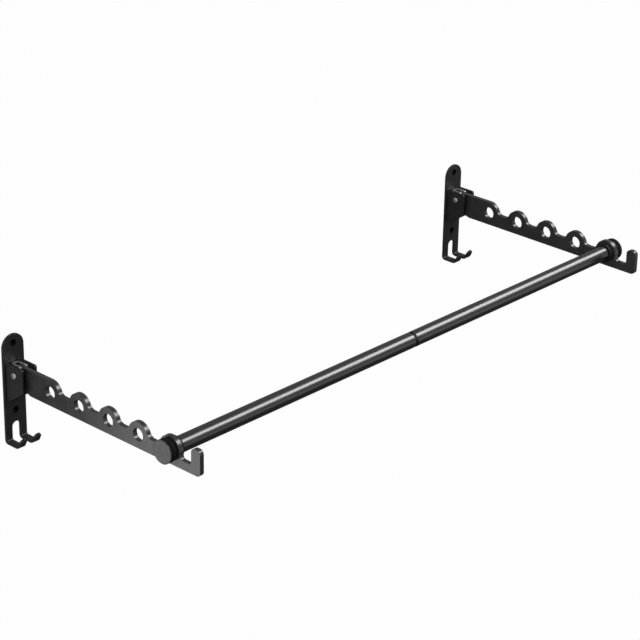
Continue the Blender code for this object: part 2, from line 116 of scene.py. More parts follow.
# Shape of an arm's side view, from its pivot
FREE_HOLE_COUNT = 4
FIRST_HOLE_OUT = 0.0528
HOLE_PITCH = 0.050
HOLE_LINE = -0.0068
HOLE_D = 0.0162
ROD_HOLE_OUT = ROD_OUT - PIVOT_OUT
SLEEVE_HOLE_D = 0.0092
BUMP_R = 0.0159
END_BUMP_R = ARM_HIGH.z - ROD_UP
VALLEY_FLOOR = -0.0056
VALLEY_FILLET = 0.008
TIP_POST = 0.0142
TIP_TOP = 0.0085
TIP_CORNER_R = 0.0055
TIP_INNER_R = 0.004
TIP_GAP_FLOOR = ARM_LOW.z + 0.0108
TIP_GAP_FILLET = 0.005
FOOT_CORNER_R = 0.0055
ROOT_TOP = HOLE_LINE + BUMP_R
ROOT_R = ROOT_TOP + 0.0009
ROOT_FOOT_OUT = 0.0173
HEEL_TOP = -0.0098
HEEL_FOOT = -0.0135
BAR_SIZES = {
    "Thickness": ARM_THICK,
    "Hole Diameter": HOLE_D,
    "Hole Count": FREE_HOLE_COUNT,
    "Hole Pitch": HOLE_PITCH,
    "Pivot Hole Diameter": SLEEVE_HOLE_D,
}

# Shape of the saddle, the pivot's hardware, the rod and the caps
SADDLE_SHEET = 0.0027
SADDLE_BEND_R = 0.0015
SADDLE_CORNER_R = 0.003
SOCKET_FLATS = 0.003
SOCKET_DEPTH = 0.0016
HEAD_DOME = 0.0017
HEAD_CROWN_R = 0.0021
BOLT_R = 0.0025
BOLT_THREAD_LENGTH = 0.012
THREAD_SINK = 0.0004
PLAIN_PITCH = 0.001
THREAD_DEPTH_SHARE = 0.55
THREAD_CHAMFER_SHARE = 0.65
THREAD_FLANK = (0.1, 0.9)
NUT_FACE_SHARE = 0.95
NUT_CHAMFER_TURN = math.radians(30)
TUBE_WALL = 0.0012
TUBE_EDGE = 0.0005
FIT_GAP = 0.0003
HAIRLINE = 0.00002
PLUG_COLLAR = 0.005
PLUG_EDGE = 0.0006
SPIGOT_R = HOLE_D / 2 - FIT_GAP
STUD_HOLE_R = 0.0043
JOINT_HOLE_R = 0.0053
CAP_GROOVE_COUNT = 3
CAP_GROOVE = 0.0011
CAP_GROOVE_PITCH = 0.0017
CAP_GROOVE_EDGE = 0.00015
CAP_FACE = 0.0008
CAP_RIM = 0.0022
CAP_DISH = 0.0003
WASHER_EDGE = 0.0006

# Tolerances and straight steps of the meshes; HOLD keeps a point close beside each rounded corner
TINY = 1e-7
MERGE = 1e-6
WELD = 2e-6
FLAT_TURN = math.radians(0.5)
EDGE_TURN = math.radians(35)
CRISP_TURN = math.radians(10)
CORNER_SHARE = 0.45
HOLD = 1.09
FLAT_WEIGHT = 100
TURN_STEPS = 96
HOLE_STEPS = 72
BOLT_STEPS = 64
SCREW_STEPS = 48
NUT_BORE_STEPS = 48
BOLT_HOLE_STEPS = 40
PLATE_TOP_STEPS = 40
THREAD_STEPS_ROUND = 40
THREAD_STEPS_PER_TURN = 8
ARC_STEPS = 24
BEND_STEPS = 10
DOME_STEPS = 8
CORNER_STEPS = 4
EDGE_STEPS = 3

# Finishes: indices of refraction, roughness, scales of grain and mottle, shades, and bump strength and height
COAT_IOR = 1.8
PLATE_IOR = 1.5
TUBE_IOR = 2.0
PLAIN_IOR = 1.5
PLAIN_SPECULAR = 0.5
CAP_SPECULAR = 0.45
PLASTIC_SPECULAR = 0.3
RUBBER_SPECULAR = 0.2
ARM_ROUGH = 0.28
PLATE_ROUGH = 0.42
TUBE_ROUGH = 0.27
PLASTIC_ROUGH = 0.55
RUBBER_ROUGH = 0.75
CAP_FACE_ROUGH = 0.34
CAP_SIDE_ROUGH = 0.85
SADDLE_ROUGH = 0.42
BARE_RIM_ROUGH = 0.36
ZINC_ROUGH = 0.5
BRASS_ROUGH = 0.32
COAT_ROUGH_SPREAD = (-0.03, 0.03)
TUBE_ROUGH_SPREAD = (-0.02, 0.02)
MOULDED_ROUGH_SPREAD = (-0.05, 0.06)
METAL_ROUGH_SPREAD = (-0.07, 0.08)
COAT_GRAIN = (1400.0, 45.0)
TUBE_GRAIN = (2200.0, 45.0)
MOULDED_GRAIN = (2600.0, 120.0)
METAL_GRAIN = (900.0, 300.0)
MOULDED_RINGS = 1200.0
METAL_RINGS = 2500.0
TUBE_STREAKS = (4.0, 700.0, 700.0)
COAT_SHADES = (0.85, 1.15)
MOULDED_SHADES = (0.8, 1.35)
BRASS_SHADE = 0.8
# Factor that darkens the coat in the countersinks: painted shade in the screw holes
COUNTERSINK_PAINTED_SHADE = 0.5
COAT_BUMP = (0.12, 0.0002)
TUBE_BUMP = (0.03, 0.00005)
MOULDED_BUMP = (0.1, 0.0001)
METAL_BUMP = (0.08, 0.0001)
RUB_AMOUNT = 0.6
RUB_RANGE = (0.38, 0.62)
NOISE_RANGE = (0.3, 0.7)
# Depths below a saddle's rim at which its bare metal starts and is full
BARE_RIM = (0.0009, 0.0005)

# Stage: lamps as name, place, target, size and the property that holds their power
LAMPS = (
    ("Key strip", (1.02, -0.745, 0.985), (0.85, -0.39, 0.23), (1.7, 0.60), "key_power"),
    ("Arm card", (-0.785, 0.03, -0.23), (-0.40, -0.29, 0.0), (0.30, 0.30), "card_power"),
    ("Side fill", (-2.6, -1.0, 1.0), (0.0, -0.1, 0.0), (3.0, 2.2), "fill_power"),
    ("Front card", (1.3, -1.75, -0.3), (0.0, -0.27, 0.0), (1.4, 0.8), "front_power"),
)
WHITE = (1, 1, 1, 1)
FLOOR_GREY = (0.5, 0.5, 0.5, 1)
FLOOR_ROUGH = 0.9
FLOOR_HALF = 40.0
FLOOR_WHITE_SHARE = 0.985
SENSOR_WIDTH = 36
VIEW_DEPTH = 200

# Socket types of node trees
GEOMETRY = "NodeSocketGeometry"
VECTOR = "NodeSocketVector"
MATERIAL = "NodeSocketMaterial"
FLOAT = "NodeSocketFloat"
SOCKET_TYPES = {float: FLOAT, int: "NodeSocketInt"}


def length_property(name, description, default):
    """A property that holds a length."""
    return FloatProperty(name=name, description=description, default=default, unit="LENGTH")


def angle_property(name, description, default):
    """A property that holds an angle."""
    return FloatProperty(name=name, description=description, default=default, subtype="ANGLE")


def amount_property(name, description, default, **limits):
    """A property that holds a plain number from 0 up."""
    return FloatProperty(name=name, description=description, default=default, min=0.0, **limits)


def colour_property(name, description, default):
    """A property that holds a colour."""
    return FloatVectorProperty(name=name, description=description, default=default, subtype="COLOR")


class RackShape(PropertyGroup):
    """Small sizes that the finished pieces add to the CAD shapes."""

    sheet_edge: length_property("Sheet edge", "Rounding of the wall plates' edges", 0.0004)
    bar_edge: length_property("Bar edge", "Rounding of the arms' edges", 0.0006)
    turned_edge: length_property("Turned edge", "Rounding of edges on turned pieces", 0.0003)
    saddle_edge: length_property("Saddle edge", "Rounding of the saddles' edges", 0.0006)
    cap_edge: length_property("Cap edge", "Rounding of the end caps' rim", 0.0006)
    stud_pitch: length_property("Stud pitch", "Thread pitch of the cap and joint studs", 0.00125)
    bolt_pitch: length_property("Bolt pitch", "Thread pitch of the pivot bolts", 0.0008)
    hole_steps: IntProperty(
        name="Hole steps", description="Straight steps round an arm's hole", default=HOLE_STEPS, min=12
    )


class RackFinish(PropertyGroup):
    """Colours of the finishes."""

    coat: colour_property("Coat", "Satin black coat of the arms", (0.026, 0.026, 0.027))
    plate_coat: colour_property("Plate coat", "Duller black coat of the plates", (0.0155, 0.0155, 0.016))
    coat_worn: colour_property("Rubbed coat", "Coat where edges are rubbed", (0.03, 0.03, 0.031))
    tube: colour_property("Tube", "Graphite coat of the rod", (0.0075, 0.0072, 0.0083))
    tube_streak: colour_property("Tube streaks", "Lighter streaks along the rod", (0.0115, 0.011, 0.0127))
    plastic: colour_property("Plastic", "Plugs, bushes and joint ring", (0.008, 0.008, 0.0085))
    cap: colour_property("Cap", "Moulded end caps", (0.095, 0.095, 0.0985))
    # The cap side's near-black colour is painted shade; the face keeps the cap's own grey
    cap_side_painted_shade: colour_property("Cap side", "Rough grooved side of the end caps", (0.004, 0.004, 0.0042))
    rubber: colour_property("Rubber", "Cap washers", (0.006, 0.006, 0.006))
    zinc: colour_property("Zinc", "Bright zinc of bolts, nuts and studs", (0.48, 0.48, 0.495))
    zinc_dull: colour_property("Dull zinc", "Duller patches of the zinc", (0.36, 0.36, 0.375))
    bare_rim: colour_property("Bare rim", "Sheared rims of the saddles", (0.82, 0.82, 0.83))
    brass: colour_property("Brass", "Arm sleeves", (0.56, 0.41, 0.18))


class RackStage(PropertyGroup):
    """Camera, floor and lamps."""

    camera_place: FloatVectorProperty(
        name="Camera",
        description="Camera's place",
        default=(-1.96808, -1.94513, 1.19221),
        subtype="XYZ",
        unit="LENGTH",
    )
    camera_yaw: angle_property("Yaw", "Camera's turn", -0.82366)
    camera_pitch: angle_property("Pitch", "Camera's tilt down", 0.42636)
    camera_roll: angle_property("Roll", "Camera's roll", 0.01736)
    camera_lens: FloatProperty(name="Lens", description="Focal length in mm", default=130.94, min=1.0)
    floor_drop: length_property("Floor drop", "Floor below the pivots", 1.6)
    key_power: amount_property("Key", "Power of the long lamp above the rod", 19.0)
    card_power: amount_property("Card", "Power of the card beside the left arm", 0.4)
    fill_power: amount_property("Fill", "Power of the soft lamp at the left", 50.0)
    front_power: amount_property("Front", "Power of the dim card in front", 1.6)
    room_light: amount_property("Room", "Strength of the light all round", 0.2)
    floor_shine: amount_property("Floor shine", "How white the floor is in reflections", 0.06, max=1.0)
    room_shine: amount_property("Room shine", "How white the room is in reflections", 0.25, max=1.0)


def arc(centre, radius, start, end, steps=BEND_STEPS):
    """Points on a circle from one angle to another, in degrees, both ends included."""
    points = []
    for i in range(steps + 1):
        turn = math.radians(start + (end - start) * i / steps)
        points.append((centre[0] + radius * math.cos(turn), centre[1] + radius * math.sin(turn)))
    return points


def softened(profile, radius):
    """A closed profile of (x, radius) points with its corners rounded, except those on the axis.

    A point is added close beside each rounded corner, so that the long faces next to it shade evenly.
    """
    rounded = []
    for i, point in enumerate(profile):
        corner = Vector(point)
        before = Vector(profile[i - 1]) - corner
        after = Vector(profile[(i + 1) % len(profile)]) - corner
        if point[1] < TINY or before.length < TINY or after.length < TINY:
            rounded.append(point)
            continue
        cut = min(radius, CORNER_SHARE * before.length, CORNER_SHARE * after.length)
        before = before.normalized() * cut
        after = after.normalized() * cut
        rounded.append(tuple(corner + before * HOLD))
        for step in range(CORNER_STEPS + 1):
            share = step / CORNER_STEPS
            to_corner = (corner + before).lerp(corner, share)
            from_corner = corner.lerp(corner + after, share)
            rounded.append(tuple(to_corner.lerp(from_corner, share)))
        rounded.append(tuple(corner + after * HOLD))
    return rounded


def turned(profile, line, steps=TURN_STEPS):
    """Closed mesh turned about a line along X, (y, z), from a closed profile of (x, radius) points."""
    bm = bmesh.new()
    rings = []
    for x, radius in profile:
        if radius < TINY:
            rings.append([bm.verts.new((x, *line))])
            continue
        places = arc(line, radius, 0, 360 * (steps - 1) / steps, steps - 1)
        rings.append([bm.verts.new((x, y, z)) for y, z in places])
    for near, far in zip(rings, rings[1:] + rings[:1]):
        if len(near) == len(far) == 1:
            continue
        for i in range(steps):
            quad = [near[i % len(near)], near[(i + 1) % len(near)]]
            quad += [far[(i + 1) % len(far)], far[i % len(far)]]
            bm.faces.new(dict.fromkeys(quad))
    bmesh.ops.recalc_face_normals(bm, faces=bm.faces)
    return bm


def ring(x0, x1, inner, outer):
    """A turned profile with a bore."""
    return [(x0, inner), (x0, outer), (x1, outer), (x1, inner)]


def pivot_bore(low, high, steps):
    """Cutter for the pivot bolt's hole between two places along X."""
    return turned(ring(low, high, 0, PIVOT_HOLE_R), PIVOT_LINE, steps)


def prism(outline, low, high, place):
    """Closed mesh between two parallel planes over an outline."""
    bm = bmesh.new()
    face = bm.faces.new([bm.verts.new(place(low, point)) for point in outline])
    grown = bmesh.ops.extrude_face_region(bm, geom=[face], use_keep_orig=True)["geom"]
    moved = [item for item in grown if isinstance(item, bmesh.types.BMVert)]
    bmesh.ops.translate(bm, verts=moved, vec=place(high, (0, 0)) - place(low, (0, 0)))
    bmesh.ops.recalc_face_normals(bm, faces=bm.faces)
    return bm


def side_place(x, point):
    """A point of a side view, given as (out, up), at a place along X."""
    return Vector((x, -point[0], point[1]))


def front_place(out, point):
    """A point of a front view, given as (x, up), at a distance out from the wall."""
    return Vector((point[0], -out, point[1]))


def plan_place(up, point):
    """A point of a plan, given as (x, out from the wall), at a height."""
    return Vector((point[0], -point[1], up))


def hexagon(flats):
    """Corners of a hexagon round the pivot in a side view, from its width across flats."""
    return arc((PIVOT_OUT, 0), flats / math.sqrt(3), 0, 300, 5)


def new_object(name, bm):
    """Turn a bmesh into a linked object."""
    mesh = bpy.data.meshes.new(name)
    bm.to_mesh(mesh)
    bm.free()
    obj = bpy.data.objects.new(name, mesh)
    bpy.context.scene.collection.objects.link(obj)
    return obj


@contextmanager
def editing(obj):
    """An object's mesh as a bmesh, written back at the end."""
    bm = bmesh.new()
    bm.from_mesh(obj.data)
    yield bm
    bm.to_mesh(obj.data)
    bm.free()


def settle(obj):
    """Turn an object's modifiers into a plain mesh."""
    bpy.context.view_layer.update()
    evaluated = obj.evaluated_get(bpy.context.evaluated_depsgraph_get())
    mesh = bpy.data.meshes.new_from_object(evaluated)
    obj.modifiers.clear()
    old = obj.data
    obj.data = mesh
    bpy.data.meshes.remove(old)


def combine(obj, tools, operation):
    """Join tool objects to an object or cut them out of it, and remove them."""
    for tool in tools:
        boolean = obj.modifiers.new("Boolean", "BOOLEAN")
        boolean.operation = operation
        boolean.solver = "EXACT"
        boolean.object = tool
    settle(obj)
    for tool in tools:
        bpy.data.objects.remove(tool)


def combine_shapes(obj, shapes, operation):
    """Join shapes to an object or cut them out of it."""
    combine(obj, [new_object(f"{obj.name}_tool", shape) for shape in shapes], operation)


def weld(obj):
    """Merge points that lie together after cuts, and drop the slivers between them."""
    with editing(obj) as bm:
        bmesh.ops.remove_doubles(bm, verts=bm.verts, dist=WELD)
        bmesh.ops.dissolve_degenerate(bm, edges=bm.edges, dist=WELD)


def in_screw_hole(part):
    """Whether all points of an edge or face of a plate about X = 0 lie in one of its screw holes."""
    places = [vert.co for vert in part.verts]
    reach = COUNTERSINK_R + WELD
    return any(all(math.hypot(co.x, co.z - height) < reach for co in places) for height in SCREW_HEIGHTS)


def keep_crisp(bm, inside):
    """Leave the edges inside some holes unrounded and sharp, and mark the holes' faces for painted shade."""
    weight = bm.edges.layers.float["bevel_weight_edge"]
    sunk = bm.faces.layers.float.new("sunk")
    for edge in filter(inside, bm.edges):
        edge[weight] = 0.0
        edge.smooth = edge.calc_face_angle(0.0) < CRISP_TURN
    # Faces inside the holes are marked so the coat paints shade on them
    for face in filter(inside, bm.faces):
        face[sunk] = 1.0


def round_edges(obj, width, inside=None):
    """Round an object's sharp edges, shade its flat faces flat, and mark the faces of the rounded edges.

    Edges inside the holes that a test picks out stay sharp.
    """
    obj.data.shade_smooth()
    with editing(obj) as bm:
        bmesh.ops.remove_doubles(bm, verts=bm.verts, dist=MERGE)
        bmesh.ops.dissolve_limit(bm, angle_limit=FLAT_TURN, verts=bm.verts, edges=bm.edges)
        weight = bm.edges.layers.float.new("bevel_weight_edge")
        for edge in bm.edges:
            edge[weight] = float(edge.calc_face_angle(0.0) > EDGE_TURN)
        if inside:
            keep_crisp(bm, inside)
    bevel = obj.modifiers.new("Rounded edges", "BEVEL")
    bevel.width = width
    bevel.segments = EDGE_STEPS
    bevel.limit_method = "WEIGHT"
    bevel.use_clamp_overlap = True
    bevel.material = 1
    flats = obj.modifiers.new("Flat faces", "WEIGHTED_NORMAL")
    flats.weight = FLAT_WEIGHT
    flats.keep_sharp = True
    obj.data.materials.clear()
    obj.data.materials.append(None)
    obj.data.materials.append(None)
    settle(obj)
    mark_edges(obj.data)


def mark_edges(mesh):
    """Store the rounded edges' faces, which hold the second material index, as an attribute."""
    rub = mesh.attributes.new("rub", "FLOAT", "FACE")
    marks = [float(face.material_index == 1) for face in mesh.polygons]
    rub.data.foreach_set("value", marks)
    mesh.polygons.foreach_set("material_index", [0] * len(marks))
    mesh.materials.clear()


def finish_piece(context, obj, finish, node, body):
    """Give a finished piece its material, and let it stand for a CAD node on that node's body."""
    obj.data.materials.clear()
    obj.data.materials.append(rack_material(context, finish))
    if not obj.data.has_custom_normals:
        obj.data.shade_smooth()
        obj.data.set_sharp_from_angle(angle=EDGE_TURN)
    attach(obj, body)
    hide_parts(node)


def feed(tree, socket, value):
    """Link another node's output to an input socket, or set the socket to a plain value."""
    if isinstance(value, NodeSocket):
        tree.links.new(value, socket)
    else:
        socket.default_value = value


def add_node(tree, kind, inputs=None, **settings):
    """Add a node to a tree and return its outputs; each input is a plain value or another node's output."""
    node = tree.nodes.new(kind)
    for name, value in settings.items():
        setattr(node, name, value)
    for name, value in (inputs or {}).items():
        feed(tree, node.inputs[name], value)
    return node.outputs


def add_math(tree, operation, first, second=0.0):
    """Add a Math node and return its output."""
    return add_node(tree, "ShaderNodeMath", {0: first, 1: second}, operation=operation)[0]


def share_of_range(tree, value, low, high):
    """How far a value lies along a range, from 0 to 1."""
    return add_node(tree, "ShaderNodeMapRange", {"Value": value, "From Min": low, "From Max": high})[0]


def spread_over(tree, share, low, high):
    """Spread a 0 to 1 value over a range."""
    return add_node(tree, "ShaderNodeMapRange", {"Value": share, "To Min": low, "To Max": high})[0]


def new_tree(name, kind, inputs, outputs):
    """A node tree and its input sockets, which are named with a default value or a socket type."""
    tree = bpy.data.node_groups.new(name, kind)
    for label, value in inputs.items():
        plain = not isinstance(value, str)
        socket_type = SOCKET_TYPES[type(value)] if plain else value
        socket = tree.interface.new_socket(label, in_out="INPUT", socket_type=socket_type)
        if plain:
            socket.default_value = value
    for label, socket_type in outputs.items():
        tree.interface.new_socket(label, in_out="OUTPUT", socket_type=socket_type)
    return tree, tree.nodes.new("NodeGroupInput").outputs


def tree_named(name, maker):
    """A node tree by name, made on first use."""
    return bpy.data.node_groups.get(name) or maker()


def joined(tree, parts):
    """Join geometry in a geometry tree."""
    join = tree.nodes.new("GeometryNodeJoinGeometry")
    for part in parts:
        tree.links.new(part, join.inputs[0])
    return join.outputs[0]


def close_tree(tree, name, geometry, finish):
    """End a geometry tree with real instances, one material and one output."""
    real = add_node(tree, "GeometryNodeRealizeInstances", {"Geometry": geometry})[0]
    dressed = add_node(tree, "GeometryNodeSetMaterial", {"Geometry": real, "Material": finish})[0]
    add_node(tree, "NodeGroupOutput", {name: dressed})
    return tree


def run_tree(obj, tree, values):
    """Run a geometry tree on an object with these inputs, and keep the result as a plain mesh."""
    modifier = obj.modifiers.new(tree.name, "NODES")
    modifier.node_group = tree
    for item in tree.interface.items_tree:
        if item.in_out == "INPUT" and item.name in values:
            modifier[item.identifier] = values[item.name]
    settle(obj)


def holed_bar_tree():
    """Geometry tree: fill an outline with a row of holes, a rod hole and a pivot hole, and thicken it."""
    inputs = {
        "Outline": GEOMETRY,
        **BAR_SIZES,
        "First Hole": VECTOR,
        "Rod Hole": VECTOR,
        "Hole Steps": HOLE_STEPS,
        "Finish": MATERIAL,
    }
    tree, given = new_tree("Holed Bar", "GeometryNodeTree", inputs, {"Bar": GEOMETRY})
    node = partial(add_node, tree)
    calc = partial(add_math, tree)
    outline = node("GeometryNodeMeshToCurve", {"Mesh": given["Outline"]})[0]
    circle = {"Resolution": given["Hole Steps"], "Radius": calc("MULTIPLY", given["Hole Diameter"], 0.5)}
    hole = node("GeometryNodeCurvePrimitiveCircle", circle)[0]
    circle["Radius"] = calc("MULTIPLY", given["Pivot Hole Diameter"], 0.5)
    pivot = node("GeometryNodeCurvePrimitiveCircle", circle)[0]
    step = node("ShaderNodeCombineXYZ", {"X": given["Hole Pitch"]})[0]
    row = {"Count": given["Hole Count"], "Start Location": given["First Hole"], "Offset": step}
    places = node("GeometryNodeMeshLine", row)[0]
    holes = node("GeometryNodeInstanceOnPoints", {"Points": places, "Instance": hole})[0]
    holes = node("GeometryNodeRealizeInstances", {"Geometry": holes})[0]
    rod = node("GeometryNodeSetPosition", {"Geometry": hole, "Offset": given["Rod Hole"]})[0]
    loops = joined(tree, (outline, holes, rod, pivot))
    face = node("GeometryNodeFillCurve", {"Curve": loops}, mode="NGONS")[0]
    grow = {"Mesh": face, "Offset Scale": given["Thickness"], "Individual": False}
    walls = node("GeometryNodeExtrudeMesh", grow)[0]
    back = node("GeometryNodeFlipFaces", {"Mesh": face})[0]
    shell = joined(tree, (walls, back))
    shell = node("GeometryNodeMergeByDistance", {"Geometry": shell, "Distance": MERGE})[0]
    drop = node("ShaderNodeCombineXYZ", {"Z": calc("MULTIPLY", given["Thickness"], -0.5)})[0]
    centred = node("GeometryNodeSetPosition", {"Geometry": shell, "Offset": drop})[0]
    return close_tree(tree, "Bar", centred, given["Finish"])


def thread_tree():
    """Geometry tree: a threaded stud along X from the origin, closed and chamfered at both ends."""
    inputs = {
        "Length": BOLT_THREAD_LENGTH,
        "Radius": BOLT_R,
        "Pitch": PLAIN_PITCH,
        "Depth": THREAD_DEPTH_SHARE * PLAIN_PITCH,
        "Chamfer": THREAD_CHAMFER_SHARE * PLAIN_PITCH,
        "Steps per Turn": THREAD_STEPS_PER_TURN,
        "Steps Round": THREAD_STEPS_ROUND,
        "Finish": MATERIAL,
    }
    tree, given = new_tree("Thread", "GeometryNodeTree", inputs, {"Stud": GEOMETRY})
    node = partial(add_node, tree)
    calc = partial(add_math, tree)
    length = given["Length"]
    turns = calc("DIVIDE", length, given["Pitch"])
    steps = calc("ROUND", calc("MULTIPLY", turns, given["Steps per Turn"]))
    step = calc("DIVIDE", length, steps)
    sheet = {
        "Size X": calc("ADD", length, calc("MULTIPLY", step, 2.0)),
        "Size Y": 1.0,
        "Vertices X": calc("ADD", steps, 3.0),
        "Vertices Y": calc("ADD", given["Steps Round"], 1.0),
    }
    grid = node("GeometryNodeMeshGrid", sheet)[0]
    place = node("ShaderNodeSeparateXYZ", {0: node("GeometryNodeInputPosition")[0]})
    free_x = calc("ADD", place["X"], calc("MULTIPLY", length, 0.5))
    x = calc("MINIMUM", calc("MAXIMUM", free_x, 0.0), length)
    share = calc("ADD", place["Y"], 0.5)
    angle = calc("MULTIPLY", share, math.tau)
    phase = calc("FRACT", calc("SUBTRACT", calc("DIVIDE", x, given["Pitch"]), share))
    crest = calc("MULTIPLY", calc("PINGPONG", phase, 0.5), 2.0)
    flank = share_of_range(tree, crest, *THREAD_FLANK)
    cut = calc("MULTIPLY", calc("SUBTRACT", 1.0, flank), given["Depth"])
    thread_r = calc("SUBTRACT", given["Radius"], cut)
    to_end = calc("MINIMUM", x, calc("SUBTRACT", length, x))
    end_r = calc("ADD", calc("SUBTRACT", given["Radius"], given["Chamfer"]), to_end)
    past_end = calc("ABSOLUTE", calc("SUBTRACT", free_x, x))
    inside = calc("LESS_THAN", past_end, calc("MULTIPLY", step, 0.5))
    radius = calc("MULTIPLY", calc("MINIMUM", thread_r, end_r), inside)
    y = calc("MULTIPLY", radius, calc("COSINE", angle))
    z = calc("MULTIPLY", radius, calc("SINE", angle))
    wrapped = node("ShaderNodeCombineXYZ", {"X": x, "Y": y, "Z": z})[0]
    stud = node("GeometryNodeSetPosition", {"Geometry": grid, "Position": wrapped})[0]
    stud = node("GeometryNodeMergeByDistance", {"Geometry": stud, "Distance": MERGE})[0]
    return close_tree(tree, "Stud", stud, given["Finish"])


def threaded(context, name, low, high, radius, line, pitch, finish):
    """A threaded stud between two places along X on a line, with its normals outwards."""
    obj = new_object(name, bmesh.new())
    values = {
        "Length": high - low,
        "Radius": radius,
        "Pitch": pitch,
        "Depth": THREAD_DEPTH_SHARE * pitch,
        "Chamfer": THREAD_CHAMFER_SHARE * pitch,
        "Finish": rack_material(context, finish),
    }
    run_tree(obj, tree_named("Thread", thread_tree), values)
    obj.data.transform(Matrix.Translation((low, *line)))
    with editing(obj) as bm:
        bmesh.ops.recalc_face_normals(bm, faces=bm.faces)
    return obj


def coat_grain_group():
    """Shader group: the fine orange-peel of a baked coat and its wide, faint mottle."""
    inputs = {"Vector": VECTOR, "Grain Scale": COAT_GRAIN[0], "Mottle Scale": COAT_GRAIN[1]}
    tree, given = new_tree("Coat Grain", "ShaderNodeTree", inputs, {"Height": FLOAT, "Mottle": FLOAT})
    fine = {"Vector": given["Vector"], "Scale": given["Grain Scale"], "Detail": 2.0, "Roughness": 0.45}
    wide = {"Vector": given["Vector"], "Scale": given["Mottle Scale"], "Detail": 4.0, "Roughness": 0.6}
    height = add_node(tree, "ShaderNodeTexNoise", fine)[0]
    cloud = add_node(tree, "ShaderNodeTexNoise", wide)[0]
    mottle = share_of_range(tree, cloud, *NOISE_RANGE)
    add_node(tree, "NodeGroupOutput", {"Height": height, "Mottle": mottle})
    return tree


def rubbed_edge_group():
    """Shader group: where a piece's marked edges are rubbed, in broken patches."""
    inputs = {"Vector": VECTOR, "Edge": 0.0, "Amount": RUB_AMOUNT}
    tree, given = new_tree("Rubbed Edge", "ShaderNodeTree", inputs, {"Mask": FLOAT})
    noise = {"Vector": given["Vector"], "Scale": 160.0, "Detail": 3.0}
    broken = add_node(tree, "ShaderNodeTexNoise", noise)[0]
    patches = share_of_range(tree, broken, *RUB_RANGE)
    mask = add_math(tree, "MULTIPLY", add_math(tree, "MULTIPLY", patches, given["Edge"]), given["Amount"])
    add_node(tree, "NodeGroupOutput", {"Mask": mask})
    return tree


def turning_marks_group():
    """Shader group: fine rings round a line along X, as a lathe or a mould leaves them."""
    inputs = {"Vector": VECTOR, "Line Y": 0.0, "Line Z": 0.0, "Ring Scale": METAL_RINGS}
    tree, given = new_tree("Turning Marks", "ShaderNodeTree", inputs, {"Height": FLOAT, "Tone": FLOAT})
    calc = partial(add_math, tree)
    place = add_node(tree, "ShaderNodeSeparateXYZ", {0: given["Vector"]})
    across = calc("SUBTRACT", place["Y"], given["Line Y"])
    above = calc("SUBTRACT", place["Z"], given["Line Z"])
    squares = calc("ADD", calc("MULTIPLY", across, across), calc("MULTIPLY", above, above))
    rings = add_node(tree, "ShaderNodeCombineXYZ", {"X": place["X"], "Y": calc("SQRT", squares)})[0]
    fine = {"Vector": rings, "Scale": given["Ring Scale"], "Detail": 2.0}
    height = add_node(tree, "ShaderNodeTexNoise", fine)[0]
    tone = share_of_range(tree, height, *NOISE_RANGE)
    add_node(tree, "NodeGroupOutput", {"Height": height, "Tone": tone})
    return tree


def add_group(tree, name, maker, inputs):
    """Place a shared shader group in a material and return its outputs."""
    return add_node(tree, "ShaderNodeGroup", inputs, node_tree=tree_named(name, maker))


def coat_grain(tree, place, scales=COAT_GRAIN):
    """Grain and mottle of these scales in a material."""
    inputs = {"Vector": place, "Grain Scale": scales[0], "Mottle Scale": scales[1]}
    return add_group(tree, "Coat Grain", coat_grain_group, inputs)


def turning_marks(tree, place, line, scale):
    """Rings of this scale round a line, given as (y, z), in a material."""
    inputs = {"Vector": place, "Line Y": line[0], "Line Z": line[1], "Ring Scale": scale}
    return add_group(tree, "Turning Marks", turning_marks_group, inputs)


def near_ends(tree, place, axis, low, high, start, full):
    """Mask of a piece's two ends along an axis: none at one distance from an end, full at another."""
    along = add_node(tree, "ShaderNodeSeparateXYZ", {0: place})[axis]
    from_middle = add_math(tree, "ABSOLUTE", add_math(tree, "SUBTRACT", along, (low + high) / 2))
    half = (high - low) / 2
    return share_of_range(tree, from_middle, half - start, half - full)


def scaled(colour, factor):
    """A colour made lighter or darker."""
    return tuple(channel * factor for channel in colour)


def mixed_colour(tree, mask, first, second):
    """Mix two colours, each a plain colour or another node's output, by a mask."""
    first, second = [c if isinstance(c, NodeSocket) else (*c, 1) for c in (first, second)]
    return add_node(tree, "ShaderNodeMix", {0: mask, 6: first, 7: second}, data_type="RGBA")[2]


def shaded(tree, mask, colour, shades):
    """A colour that goes from a darker to a lighter shade by a mask."""
    return mixed_colour(tree, mask, scaled(colour, shades[0]), scaled(colour, shades[1]))


def varied(tree, share, value, spread):
    """A value varied within a spread about it, by a 0 to 1 share."""
    return spread_over(tree, share, value + spread[0], value + spread[1])


def new_material(name, roughness, metallic, specular, ior=PLAIN_IOR):
    """A Principled material's tree and its Object coordinates."""
    material = bpy.data.materials.new(name)
    material.use_nodes = True
    tree = material.node_tree
    shader = tree.nodes["Principled BSDF"].inputs
    shader["Roughness"].default_value = roughness
    shader["Metallic"].default_value = metallic
    shader["Specular IOR Level"].default_value = specular
    shader["IOR"].default_value = ior
    return tree, tree.nodes.new("ShaderNodeTexCoord").outputs["Object"]


def dress(tree, colour, roughness, height, bump, metal=None):
    """Link a material's shader to its colour, roughness, bump of a strength and depth, and share of metal."""
    shader = tree.nodes["Principled BSDF"].inputs
    raised = {"Height": height, "Strength": bump[0], "Distance": bump[1]}
    tree.links.new(colour, shader["Base Color"])
    tree.links.new(roughness, shader["Roughness"])
    tree.links.new(add_node(tree, "ShaderNodeBump", raised)[0], shader["Normal"])
    if metal is not None:
        tree.links.new(metal, shader["Metallic"])


